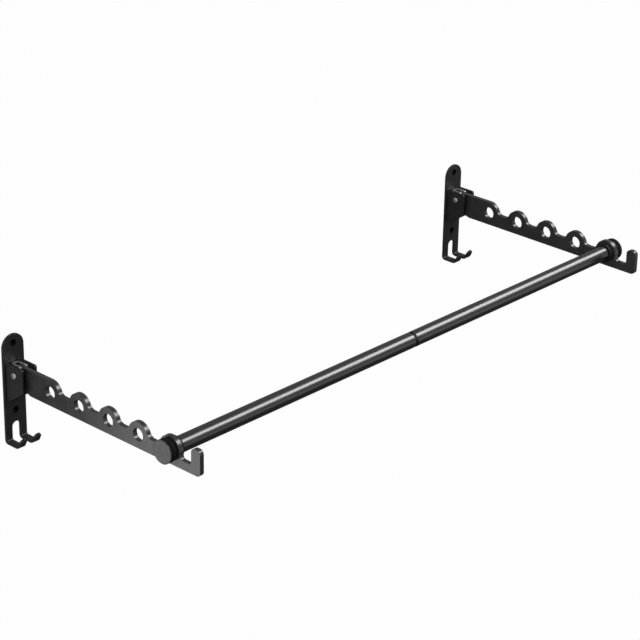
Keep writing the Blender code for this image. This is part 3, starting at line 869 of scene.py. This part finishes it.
def coat_material(name, colour, worn, roughness, ior):
    """Black baked coat: orange peel, faint mottle, rubbed edges, and painted shade in the countersinks."""
    tree, place = new_material(name, roughness, 0.0, PLAIN_SPECULAR, ior)
    grain = coat_grain(tree, place)
    edge = add_node(tree, "ShaderNodeAttribute", attribute_name="rub")["Fac"]
    rub = add_group(tree, "Rubbed Edge", rubbed_edge_group, {"Vector": place, "Edge": edge})
    mottled = shaded(tree, grain["Mottle"], colour, COAT_SHADES)
    rubbed = mixed_colour(tree, rub["Mask"], mottled, worn)
    # Painted shade: the countersinks' faces are darkened and made metallic, so the screw holes look dark
    sunk = add_node(tree, "ShaderNodeAttribute", attribute_name="sunk")["Fac"]
    base = mixed_colour(tree, sunk, rubbed, scaled(colour, COUNTERSINK_PAINTED_SHADE))
    rough = varied(tree, grain["Mottle"], roughness, COAT_ROUGH_SPREAD)
    dress(tree, base, rough, grain["Height"], COAT_BUMP, sunk)


def tube_material(name, finish):
    """Graphite coat of the rod: smooth, with faint streaks along the drawn tube."""
    tree, place = new_material(name, TUBE_ROUGH, 0.0, PLAIN_SPECULAR, TUBE_IOR)
    along = add_node(tree, "ShaderNodeMapping", {"Vector": place, "Scale": TUBE_STREAKS})[0]
    streak = add_node(tree, "ShaderNodeTexNoise", {"Vector": along, "Scale": 1.0, "Detail": 3.0})[0]
    grain = coat_grain(tree, place, TUBE_GRAIN)
    base = mixed_colour(tree, streak, finish.tube, finish.tube_streak)
    rough = varied(tree, grain["Mottle"], TUBE_ROUGH, TUBE_ROUGH_SPREAD)
    dress(tree, base, rough, grain["Height"], TUBE_BUMP)


def moulded_colour(tree, place, line, colour, mottle):
    """Colour of a moulded piece, with faint rings and mottle."""
    rings = turning_marks(tree, place, line, MOULDED_RINGS)
    return shaded(tree, add_math(tree, "MULTIPLY", mottle, rings["Tone"]), colour, MOULDED_SHADES)


def moulded_material(name, colour, line, roughness, specular):
    """Moulded plastic or rubber: fine spark-eroded grain over faint rings."""
    tree, place = new_material(name, roughness, 0.0, specular)
    grain = coat_grain(tree, place, MOULDED_GRAIN)
    base = moulded_colour(tree, place, line, colour, grain["Mottle"])
    rough = varied(tree, grain["Mottle"], roughness, MOULDED_ROUGH_SPREAD)
    dress(tree, base, rough, grain["Height"], MOULDED_BUMP)


def cap_material(name, finish):
    """Moulded cap: a satin face with faint rings, and a rough side darkened with painted shade."""
    tree, place = new_material(name, CAP_FACE_ROUGH, 0.0, CAP_SPECULAR)
    grain = coat_grain(tree, place, MOULDED_GRAIN)
    face = moulded_colour(tree, place, ROD_LINE, finish.cap, grain["Mottle"])
    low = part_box("left_end_cap")[0].x
    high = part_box("right_end_cap")[1].x
    front = near_ends(tree, place, "X", low, high, CAP_FACE + CAP_DISH, CAP_FACE)
    # Painted shade: the grooved side takes a near-black colour, the face the cap's own grey; the rougher side
    # is real
    base = mixed_colour(tree, front, finish.cap_side_painted_shade, face)
    rough = spread_over(tree, front, CAP_SIDE_ROUGH, CAP_FACE_ROUGH)
    dress(tree, base, rough, grain["Height"], MOULDED_BUMP)


def metal_material(name, colour, dull, line, roughness):
    """Turned metal: fine rings, and duller patches."""
    tree, place = new_material(name, roughness, 1.0, PLAIN_SPECULAR)
    rings = turning_marks(tree, place, line, METAL_RINGS)
    grain = coat_grain(tree, place, METAL_GRAIN)
    base = mixed_colour(tree, grain["Mottle"], colour, dull)
    rough = varied(tree, rings["Tone"], roughness, METAL_ROUGH_SPREAD)
    dress(tree, base, rough, rings["Height"], METAL_BUMP)


def saddle_material(name, finish):
    """Coated strip whose sheared rims, at its top and foot, are bare metal."""
    tree, place = new_material(name, SADDLE_ROUGH, 0.0, PLAIN_SPECULAR, COAT_IOR)
    low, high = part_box("left_pivot_saddle")
    bare = near_ends(tree, place, "Z", low.z, high.z, *BARE_RIM)
    grain = coat_grain(tree, place)
    coat = shaded(tree, grain["Mottle"], finish.coat, COAT_SHADES)
    base = mixed_colour(tree, bare, coat, finish.bare_rim)
    rough = spread_over(tree, bare, SADDLE_ROUGH, BARE_RIM_ROUGH)
    dress(tree, base, rough, grain["Height"], COAT_BUMP, bare)


def make_materials(finish):
    """Make every material of the rack."""
    coat_material("Satin black coat", finish.coat, finish.coat_worn, ARM_ROUGH, COAT_IOR)
    coat_material("Dull black coat", finish.plate_coat, finish.coat_worn, PLATE_ROUGH, PLATE_IOR)
    tube_material("Graphite tube coat", finish)
    saddle_material("Saddle strip", finish)
    cap_material("Cap plastic", finish)
    moulded_material("Bush plastic", finish.plastic, PIVOT_LINE, PLASTIC_ROUGH, PLASTIC_SPECULAR)
    moulded_material("Plug plastic", finish.plastic, ROD_LINE, PLASTIC_ROUGH, PLASTIC_SPECULAR)
    moulded_material("Washer rubber", finish.rubber, ROD_LINE, RUBBER_ROUGH, RUBBER_SPECULAR)
    metal_material("Pivot zinc", finish.zinc, finish.zinc_dull, PIVOT_LINE, ZINC_ROUGH)
    metal_material("Rod zinc", finish.zinc, finish.zinc_dull, ROD_LINE, ZINC_ROUGH)
    metal_material("Sleeve brass", finish.brass, scaled(finish.brass, BRASS_SHADE), PIVOT_LINE, BRASS_ROUGH)


def rack_material(context, name):
    """A material of the rack by name; all of them are made on first use."""
    if name not in bpy.data.materials:
        make_materials(context.scene.rack_finish)
    return bpy.data.materials[name]


def plate_sheet():
    """Flat plate with its two prongs bent into J-hooks, about X = 0."""
    foot = PLATE_LOW.z + SHEET + HOOK_FOOT_BEND_R
    outline = arc((0, PLATE_HIGH.z - HALF_PLATE), HALF_PLATE, 0, 180, PLATE_TOP_STEPS)
    outline += [(-HALF_PLATE, foot), (-HALF_SLOT, foot)]
    outline += arc((0, SLOT_TOP - HALF_SLOT), HALF_SLOT, 180, 0, ARC_STEPS)
    outline += [(HALF_SLOT, foot), (HALF_PLATE, foot)]
    bm = prism(outline, 0, SHEET, front_place)
    lean_out = math.sin(HOOK_TIP_LEAN)
    lean_up = math.cos(HOOK_TIP_LEAN)
    tip_run = (HOOK_TIP_RISE - SHEET - HOOK_TIP_BEND_R * (1 - lean_out)) / lean_up
    tip_bend_out = HOOK_REACH - (HOOK_TIP_BEND_R + SHEET) * lean_up - tip_run * lean_out
    foot_run = tip_bend_out - SHEET - HOOK_FOOT_BEND_R
    foot_bend = side_place(0, (SHEET + HOOK_FOOT_BEND_R, foot))
    tip_bend = side_place(0, (tip_bend_out, PLATE_LOW.z + SHEET + HOOK_TIP_BEND_R))
    ends = [face for face in bm.faces if all(abs(vert.co.z - foot) < MERGE for vert in face.verts)]
    for end in ends:
        end = bent_face(bm, end, foot_bend, math.pi / 2)
        end = pushed_face(bm, end, (0, -foot_run, 0))
        end = bent_face(bm, end, tip_bend, math.pi / 2 - HOOK_TIP_LEAN)
        end = pushed_face(bm, end, (0, -tip_run * lean_out, tip_run * lean_up))
        corners = [edge for edge in end.edges if abs(edge.verts[0].co.x - edge.verts[1].co.x) < MERGE]
        bmesh.ops.bevel(
            bm, geom=corners, offset=HOOK_TIP_CORNER_R, segments=BEND_STEPS, profile=0.5, affect="EDGES"
        )
    bmesh.ops.recalc_face_normals(bm, faces=bm.faces)
    return bm


def bent_face(bm, face, centre, angle):
    """Carry a face round an X axis, leaving the bend behind it."""
    made = bmesh.ops.spin(
        bm, geom=[face], cent=centre, axis=(-1, 0, 0), angle=angle, steps=BEND_STEPS, use_merge=False
    )["geom_last"]
    bmesh.ops.delete(bm, geom=[face], context="FACES_ONLY")
    return next(item for item in made if isinstance(item, bmesh.types.BMFace))


def pushed_face(bm, face, step):
    """Carry a face straight on by one step."""
    grown = bmesh.ops.extrude_discrete_faces(bm, faces=[face])["faces"][0]
    bmesh.ops.translate(bm, verts=grown.verts, vec=step)
    return grown


def ear_outline():
    """Side view of an ear: a level top, a plumb nose and a slanting foot; it starts inside the plate."""
    corner = EAR_NOSE - EAR_CORNER_R
    outline = [(SHEET / 2, EAR_ROOT_FOOT), (SHEET, EAR_ROOT_FOOT)]
    outline += [(corner, EAR_NOSE_FOOT), (EAR_NOSE, EAR_NOSE_FOOT + EAR_CORNER_R)]
    outline += arc((corner, EAR_TOP - EAR_CORNER_R), EAR_CORNER_R, 0, 90)
    outline.append((SHEET / 2, EAR_TOP))
    return outline


def screw_hole(height):
    """Cutter for a countersunk hole through the plate at a height."""
    widening = (COUNTERSINK_R - SCREW_HOLE_R) / COUNTERSINK_DEPTH
    profile = [(-SHEET, 0), (-SHEET, SCREW_HOLE_R), (SHEET - COUNTERSINK_DEPTH, SCREW_HOLE_R)]
    profile += [(2 * SHEET, COUNTERSINK_R + SHEET * widening), (2 * SHEET, 0)]
    bm = turned(profile, (0, 0), SCREW_STEPS)
    bmesh.ops.rotate(bm, verts=bm.verts, matrix=Matrix.Rotation(-math.pi / 2, 3, "Z"))
    bmesh.ops.translate(bm, verts=bm.verts, vec=(0, 0, height))
    return bm


def make_plate(context, side):
    """Wall plate, ears and hooks as one bent sheet with rounded edges."""
    node = f"{side}_wall_plate"
    obj = new_object(f"{side}_plate_sheet", plate_sheet())
    ears = []
    for direction in (-1, 1):
        outer = direction * (HALF_PLATE - EAR_INSET)
        ears.append(prism(ear_outline(), outer - direction * SHEET, outer, side_place))
    combine_shapes(obj, ears, "UNION")
    bolt_hole = pivot_bore(-HALF_PLATE, HALF_PLATE, BOLT_HOLE_STEPS)
    combine_shapes(obj, [bolt_hole] + [screw_hole(height) for height in SCREW_HEIGHTS], "DIFFERENCE")
    round_edges(obj, context.scene.rack_shape.sheet_edge, in_screw_hole)
    obj.data.transform(Matrix.Translation((middle(node).x, 0, 0)))
    finish_piece(context, obj, "Dull black coat", node, WALL_BODY)


def bump_side(hole, radius, floor, fillet):
    """Half of the bump over a hole, from its top down a hollow fillet to the flat beyond it."""
    reach = radius + fillet
    rise = max(0, floor + fillet - hole[1])
    lean = math.degrees(math.asin(rise / reach))
    crest = arc(hole, radius, 90, lean, ARC_STEPS)
    hollow = arc((hole[0] + math.sqrt(reach**2 - rise**2), floor + fillet), fillet, 180 + lean, 270)
    return crest + hollow[1:] if rise > 0 else crest + hollow


def arm_outline():
    """Side view of an arm: round root, heel, lower edge, upturned tip, and back over the bumps."""
    tip = -ARM_LOW.y - PIVOT_OUT
    post = tip - TIP_POST
    heel_back = -ARM_HIGH.y - PIVOT_OUT
    top_turn = math.degrees(math.asin(ROOT_TOP / ROOT_R))
    heel_turn = math.degrees(math.asin(-HEEL_TOP / ROOT_R))
    edge = arc((0, 0), ROOT_R, 180 - top_turn, 180 + heel_turn, ARC_STEPS)
    edge += [(heel_back, HEEL_TOP), (heel_back, HEEL_FOOT), (ROOT_FOOT_OUT, ARM_LOW.z)]
    edge += arc((tip - FOOT_CORNER_R, ARM_LOW.z + FOOT_CORNER_R), FOOT_CORNER_R, 270, 360)
    edge += arc((tip - TIP_CORNER_R, TIP_TOP - TIP_CORNER_R), TIP_CORNER_R, 0, 90)
    edge += arc((post + TIP_CORNER_R, TIP_TOP - TIP_CORNER_R), TIP_CORNER_R, 90, 180)
    edge += arc((post - TIP_INNER_R, TIP_GAP_FLOOR + TIP_INNER_R), TIP_INNER_R, 360, 270)
    later = (ROD_HOLE_OUT, ROD_UP)
    later_r = END_BUMP_R
    edge += reversed(bump_side(later, later_r, TIP_GAP_FLOOR, TIP_GAP_FILLET))
    for i in reversed(range(FREE_HOLE_COUNT)):
        later_side = bump_side(later, later_r, VALLEY_FLOOR, VALLEY_FILLET)
        edge += [(2 * later[0] - point[0], point[1]) for point in later_side[1:]]
        later = (FIRST_HOLE_OUT + i * HOLE_PITCH, HOLE_LINE)
        later_r = BUMP_R
        edge += reversed(bump_side(later, later_r, VALLEY_FLOOR, VALLEY_FILLET))
    return edge


def arm_body(side):
    """The CAD body that an arm belongs to."""
    return ROD_BODY if side == "left" else "right_arm"


def make_arm(context, side):
    """Arm bar from its outline by the Holed Bar tree, with rounded edges."""
    shape = context.scene.rack_shape
    node = f"{side}_arm"
    finish = "Satin black coat"
    bm = bmesh.new()
    verts = [bm.verts.new((*point, 0)) for point in arm_outline()]
    for i, vert in enumerate(verts):
        bm.edges.new((verts[i - 1], vert))
    obj = new_object(f"{side}_arm_bar", bm)
    values = {
        **BAR_SIZES,
        "First Hole": (FIRST_HOLE_OUT, HOLE_LINE, 0),
        "Rod Hole": (ROD_HOLE_OUT, ROD_UP, 0),
        "Hole Steps": shape.hole_steps,
        "Finish": rack_material(context, finish),
    }
    run_tree(obj, tree_named("Holed Bar", holed_bar_tree), values)
    upright = Matrix(((0, 0, -1), (-1, 0, 0), (0, 1, 0))).to_4x4()
    obj.data.transform(Matrix.Translation((middle(node).x, -PIVOT_OUT, 0)) @ upright)
    round_edges(obj, shape.bar_edge)
    finish_piece(context, obj, finish, node, arm_body(side))


def saddle_plan(low, high):
    """Plan of the U in its box, as (x, out): its closed end is rounded, and its legs run past the nose."""
    past = -low.y + SADDLE_SHEET
    bend_out = -high.y + SADDLE_SHEET + SADDLE_BEND_R
    bend_x = high.x - SADDLE_SHEET - SADDLE_BEND_R
    bend_x_far = low.x + SADDLE_SHEET + SADDLE_BEND_R
    outer_r = SADDLE_BEND_R + SADDLE_SHEET
    plan = [(high.x, past)]
    plan += arc((bend_x, bend_out), outer_r, 0, -90)
    plan += arc((bend_x_far, bend_out), outer_r, 270, 180)
    plan += [(low.x, past), (low.x + SADDLE_SHEET, past)]
    plan += arc((bend_x_far, bend_out), SADDLE_BEND_R, 180, 270)
    plan += arc((bend_x, bend_out), SADDLE_BEND_R, -90, 0)
    plan.append((high.x - SADDLE_SHEET, past))
    return plan


def make_saddle(context, side):
    """U-shaped strip round the arm's root, trimmed round at its open end."""
    node = f"{side}_pivot_saddle"
    low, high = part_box(node)
    past = SADDLE_SHEET
    strip = prism(saddle_plan(low, high), low.z - past, high.z + past, plan_place)
    obj = new_object(f"{side}_saddle_strip", strip)
    rear = -high.y - past
    corner = -low.y - SADDLE_CORNER_R
    outline = [(rear, high.z), (rear, low.z)]
    outline += arc((corner, low.z + SADDLE_CORNER_R), SADDLE_CORNER_R, 270, 360)
    outline += arc((corner, high.z - SADDLE_CORNER_R), SADDLE_CORNER_R, 0, 90)
    combine_shapes(obj, [prism(outline, low.x - past, high.x + past, side_place)], "INTERSECT")
    combine_shapes(obj, [pivot_bore(low.x - past, high.x + past, BOLT_HOLE_STEPS)], "DIFFERENCE")
    round_edges(obj, context.scene.rack_shape.saddle_edge)
    finish_piece(context, obj, "Saddle strip", node, WALL_BODY)


def make_bolt(context, side):
    """Button-head bolt with a hexagon socket and a threaded end."""
    node = f"{side}_pivot_bolt"
    finish = "Pivot zinc"
    pitch = context.scene.rack_shape.bolt_pitch
    crown, end, head_r = round_size(node)
    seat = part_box(f"{side}_wall_plate")[0].x + EAR_INSET - FIT_GAP
    thread = end - BOLT_THREAD_LENGTH
    profile = [(crown, 0)]
    for wide, rise in arc((0, 0), 1, 90, 0, DOME_STEPS):
        profile.append((crown + HEAD_DOME * (1 - rise), HEAD_CROWN_R + (head_r - HEAD_CROWN_R) * wide))
    profile += [(seat - FIT_GAP, head_r), (seat, head_r - FIT_GAP), (seat, BOLT_R)]
    profile += [(thread, BOLT_R), (thread, 0)]
    obj = new_object(f"{node}_turned", turned(profile, PIVOT_LINE, BOLT_STEPS))
    tail = threaded(context, f"{node}_tail", thread - THREAD_SINK, end, BOLT_R, PIVOT_LINE, pitch, finish)
    combine(obj, [tail], "UNION")
    hex_socket = prism(hexagon(SOCKET_FLATS), crown - HEAD_DOME, crown + SOCKET_DEPTH, side_place)
    combine_shapes(obj, [hex_socket], "DIFFERENCE")
    weld(obj)
    finish_piece(context, obj, finish, node, WALL_BODY)


def make_nut(context, side):
    """Hexagon nut with chamfered corners."""
    node = f"{side}_pivot_nut"
    low, high, half_flats = round_size(node)
    obj = new_object(f"{node}_hex", prism(hexagon(2 * half_flats), low, high, side_place))
    barrel_r = 2 * half_flats / math.sqrt(3) + FIT_GAP
    face_r = half_flats * NUT_FACE_SHARE
    chamfer = (barrel_r - face_r) * math.tan(NUT_CHAMFER_TURN)
    barrel = [(low, 0), (low, face_r), (low + chamfer, barrel_r), (high - chamfer, barrel_r)]
    barrel += [(high, face_r), (high, 0)]
    combine_shapes(obj, [turned(barrel, PIVOT_LINE)], "INTERSECT")
    combine_shapes(obj, [pivot_bore(low - chamfer, high + chamfer, NUT_BORE_STEPS)], "DIFFERENCE")
    weld(obj)
    finish_piece(context, obj, "Pivot zinc", node, WALL_BODY)


def make_turned(context, node, profile, line, finish, body, edge=None):
    """A turned piece with rounded corners that stands for a CAD node."""
    soft = context.scene.rack_shape.turned_edge if edge is None else edge
    obj = new_object(f"{node}_turned", turned(softened(profile, soft), line))
    finish_piece(context, obj, finish, node, body)


def make_ring(context, node, bore, line, finish, body, slot, edge=None):
    """A turned piece with a bore, as long and as wide as its CAD node."""
    low, high, radius = round_size(node)
    make_turned(context, node, ring(low, high, bore, radius), line, finish, body, edge)


def make_stud(context, node, body):
    """A threaded stud on the rod's line."""
    low, high, radius = round_size(node)
    pitch = context.scene.rack_shape.stud_pitch
    obj = threaded(context, f"{node}_thread", low, high, radius, ROD_LINE, pitch, "Rod zinc")
    finish_piece(context, obj, "Rod zinc", node, body)


def make_pivot(context, side):
    """Everything on a pivot bolt: saddle, the bolt itself, nut, bushes, washer and sleeve."""
    make_saddle(context, side)
    make_bolt(context, side)
    make_nut(context, side)
    rings = (
        ("pivot_bush_outer", "Bush plastic", WALL_BODY, "black_plastic"),
        ("pivot_bush_inner", "Bush plastic", WALL_BODY, "black_plastic"),
        ("pivot_washer", "Pivot zinc", WALL_BODY, "zinc_steel"),
        ("arm_sleeve", "Sleeve brass", arm_body(side), "sleeve_brass"),
    )
    for name, finish, body, slot in rings:
        make_ring(context, f"{side}_{name}", PIVOT_HOLE_R, PIVOT_LINE, finish, body, slot)


def outward(node):
    """Ends of a turned CAD node along X, the one nearer the rack's middle first, and its radius."""
    low, high, radius = round_size(node)
    if middle(node).x < 0:
        return high, low, radius
    return low, high, radius


def make_plug(context, side):
    """End plug of the rod: its core in the tube, its collar, and its spigot in the arm's hole."""
    node = f"{side}_rod_plug"
    inner, outer, radius = outward(node)
    direction = math.copysign(1, outer)
    core = ROD_R - TUBE_WALL - FIT_GAP
    face = middle(f"{side}_arm").x - direction * (ARM_THICK / 2 + FIT_GAP)
    collar = face - direction * PLUG_COLLAR
    profile = [(outer, STUD_HOLE_R), (outer, SPIGOT_R), (face, SPIGOT_R), (face, radius), (collar, radius)]
    profile += [(collar, core), (inner, core), (inner, STUD_HOLE_R)]
    make_turned(context, node, profile, ROD_LINE, "Plug plastic", ROD_BODY, PLUG_EDGE)


def make_rod(context):
    """Both tubes with their plugs and inserts, and the ring and stud of the joint."""
    tube = (ROD_R - TUBE_WALL, ROD_LINE, "Graphite tube coat", ROD_BODY, "black_tube", TUBE_EDGE)
    insert = (JOINT_HOLE_R, ROD_LINE, "Rod zinc", ROD_BODY, "zinc_steel")
    for side in SIDES:
        make_ring(context, f"{side}_rod_tube", *tube)
        make_plug(context, side)
        make_ring(context, f"{side}_joint_insert", *insert)
    node = "rod_joint_ring"
    low, high, radius = round_size(node)
    seated = FIT_GAP - HAIRLINE
    profile = ring(low - seated, high + seated, JOINT_HOLE_R, radius)
    make_turned(context, node, profile, ROD_LINE, "Plug plastic", ROD_BODY, HAIRLINE)
    make_stud(context, "rod_joint_stud", ROD_BODY)


def make_cap(context, side, body):
    """End cap: a grooved side, a dished face with a rounded rim, and a blind hole for the stud."""
    node = f"{side}_end_cap"
    round_r = context.scene.rack_shape.cap_edge
    seat, crown, radius = outward(node)
    direction = math.copysign(1, crown)
    blind = outward(f"{side}_cap_stud")[1] + direction * FIT_GAP
    dish = crown - direction * CAP_DISH
    rim = radius - CAP_RIM
    profile = [(seat, STUD_HOLE_R), (seat, radius)]
    for i in range(CAP_GROOVE_COUNT):
        near = seat + direction * (CAP_GROOVE_PITCH * (i + 1) - CAP_GROOVE / 2)
        far = near + direction * CAP_GROOVE
        profile += [(near, radius), (near, radius - CAP_GROOVE), (far, radius - CAP_GROOVE), (far, radius)]
    for x, r in arc((0, 0), round_r, 90, 0, DOME_STEPS):
        profile.append((crown - direction * (round_r - x), radius - round_r + r))
    profile += [(crown, rim), (dish, rim - CAP_DISH), (dish, 0), (blind, 0), (blind, STUD_HOLE_R)]
    make_turned(context, node, profile, ROD_LINE, "Cap plastic", body, CAP_GROOVE_EDGE)


def make_caps(context):
    """End caps with their washers and studs."""
    for side in SIDES:
        body = f"{side}_cap"
        washer = f"{side}_cap_washer"
        make_cap(context, side, body)
        make_ring(context, washer, STUD_HOLE_R, ROD_LINE, "Washer rubber", body, "rubber", WASHER_EDGE)
        make_stud(context, f"{side}_cap_stud", body)


def make_camera(context):
    """Camera at the photograph's viewing angle."""
    stage = context.scene.rack_stage
    camera = bpy.data.cameras.new("Camera")
    camera.lens = stage.camera_lens
    camera.sensor_width = SENSOR_WIDTH
    camera.clip_end = VIEW_DEPTH
    obj = bpy.data.objects.new("Camera", camera)
    context.scene.collection.objects.link(obj)
    turn = Matrix.Rotation(stage.camera_yaw, 4, "Z")
    tilt = Matrix.Rotation(math.pi / 2 - stage.camera_pitch, 4, "X")
    roll = Matrix.Rotation(stage.camera_roll, 4, "Z")
    obj.matrix_world = Matrix.Translation(stage.camera_place) @ turn @ tilt @ roll
    context.scene.camera = obj


def background_white(tree, shader, reflected):
    """White shader for a background, dimmer in reflections, and the factor of the rays that see it."""
    rays = tree.nodes.new("ShaderNodeLightPath").outputs
    through = add_math(tree, "MAXIMUM", rays["Is Camera Ray"], rays["Is Transmission Ray"])
    dimmed = add_math(tree, "MULTIPLY", rays["Is Glossy Ray"], reflected)
    strength = add_math(tree, "MAXIMUM", through, dimmed)
    white = add_node(tree, shader, {"Color": WHITE, "Strength": strength})[0]
    return white, add_math(tree, "MAXIMUM", through, rays["Is Glossy Ray"])


def make_floor(context):
    """Wide pale floor, white to the camera and in reflections, that still takes the object's shadow."""
    stage = context.scene.rack_stage
    half = FLOOR_HALF
    bm = bmesh.new()
    corners = ((-half, -half), (half, -half), (half, half), (-half, half))
    bm.faces.new([bm.verts.new((x, y, -stage.floor_drop)) for x, y in corners])
    floor = new_object("Floor", bm)
    material = bpy.data.materials.new("Pale floor")
    material.use_nodes = True
    tree = material.node_tree
    shader = tree.nodes["Principled BSDF"]
    shader.inputs["Base Color"].default_value = FLOOR_GREY
    shader.inputs["Roughness"].default_value = FLOOR_ROUGH
    white, seen = background_white(tree, "ShaderNodeEmission", stage.floor_shine)
    share = add_math(tree, "MULTIPLY", seen, FLOOR_WHITE_SHARE)
    mix = add_node(tree, "ShaderNodeMixShader", {0: share, 1: shader.outputs[0], 2: white})[0]
    tree.links.new(mix, tree.nodes["Material Output"].inputs["Surface"])
    floor.data.materials.append(material)


def make_world(context):
    """Dim even light all round, and the background's white past the floor's edge."""
    stage = context.scene.rack_stage
    world = bpy.data.worlds.new("Studio")
    context.scene.world = world
    world.use_nodes = True
    tree = world.node_tree
    room = tree.nodes["Background"]
    room.inputs["Color"].default_value = WHITE
    room.inputs["Strength"].default_value = stage.room_light
    white, seen = background_white(tree, "ShaderNodeBackground", stage.room_shine)
    mix = add_node(tree, "ShaderNodeMixShader", {0: seen, 1: room.outputs[0], 2: white})[0]
    tree.links.new(mix, tree.nodes["World Output"].inputs["Surface"])


def make_lamp(context, name, place, target, size, power):
    """A rectangular lamp that faces a target, with its long side level."""
    lamp = bpy.data.lights.new(name, "AREA")
    lamp.shape = "RECTANGLE"
    lamp.size, lamp.size_y = size
    lamp.energy = power
    obj = bpy.data.objects.new(name, lamp)
    context.scene.collection.objects.link(obj)
    obj.visible_camera = False
    facing = (Vector(place) - Vector(target)).to_track_quat("Z", "Y").to_matrix().to_4x4()
    obj.matrix_world = Matrix.Translation(place) @ facing


def make_stage(context):
    """Camera, floor, world and lamps."""
    make_camera(context)
    make_floor(context)
    make_world(context)
    for name, place, target, size, power in LAMPS:
        make_lamp(context, name, place, target, size, getattr(context.scene.rack_stage, power))
    context.scene.view_settings.view_transform = "Standard"


class RACK_OT_plates(Operator):
    """Build the wall plates with their ears and hooks"""

    bl_idname = "rack.plates"
    bl_label = "Wall Plates"

    def execute(self, context):
        for side in SIDES:
            make_plate(context, side)
        return {"FINISHED"}


class RACK_OT_arms(Operator):
    """Build the holed arms"""

    bl_idname = "rack.arms"
    bl_label = "Arms"

    def execute(self, context):
        for side in SIDES:
            make_arm(context, side)
        return {"FINISHED"}


class RACK_OT_pivots(Operator):
    """Build the saddles, bolts, bushes, sleeves, washers and nuts of the pivots"""

    bl_idname = "rack.pivots"
    bl_label = "Pivots"

    def execute(self, context):
        for side in SIDES:
            make_pivot(context, side)
        return {"FINISHED"}


class RACK_OT_rod(Operator):
    """Build the two-piece rod with its plugs and joint"""

    bl_idname = "rack.rod"
    bl_label = "Rod"

    def execute(self, context):
        make_rod(context)
        return {"FINISHED"}


class RACK_OT_caps(Operator):
    """Build the end caps with their washers and studs"""

    bl_idname = "rack.caps"
    bl_label = "End Caps"

    def execute(self, context):
        make_caps(context)
        return {"FINISHED"}


class RACK_OT_stage(Operator):
    """Set up the camera, the floor and the lamps"""

    bl_idname = "rack.stage"
    bl_label = "Stage"

    def execute(self, context):
        make_stage(context)
        return {"FINISHED"}


class RACK_PT_panel(Panel):
    """Lists the rack's sizes, colours and build steps"""

    bl_idname = "RACK_PT_panel"
    bl_label = "Clothing Rack"
    bl_space_type = "VIEW_3D"
    bl_region_type = "UI"
    bl_category = "Rack"

    def draw(self, context):
        layout = self.layout
        for group in (context.scene.rack_shape, context.scene.rack_finish, context.scene.rack_stage):
            box = layout.box()
            for name in group.__annotations__:
                box.prop(group, name)
        for operator in OPERATORS:
            layout.operator(operator.bl_idname)


OPERATORS = (RACK_OT_plates, RACK_OT_arms, RACK_OT_pivots, RACK_OT_rod, RACK_OT_caps, RACK_OT_stage)
CLASSES = (RackShape, RackFinish, RackStage, *OPERATORS, RACK_PT_panel)


def register():
    for cls in CLASSES:
        bpy.utils.register_class(cls)
    bpy.types.Scene.rack_shape = PointerProperty(type=RackShape)
    bpy.types.Scene.rack_finish = PointerProperty(type=RackFinish)
    bpy.types.Scene.rack_stage = PointerProperty(type=RackStage)


def unregister():
    del bpy.types.Scene.rack_stage
    del bpy.types.Scene.rack_finish
    del bpy.types.Scene.rack_shape
    for cls in reversed(CLASSES):
        bpy.utils.unregister_class(cls)


def main():
    """Register the add-on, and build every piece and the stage."""
    register()
    bpy.ops.rack.plates()
    bpy.ops.rack.arms()
    bpy.ops.rack.pivots()
    bpy.ops.rack.rod()
    bpy.ops.rack.caps()
    bpy.ops.rack.stage()


if __name__ == "__main__":
    main()
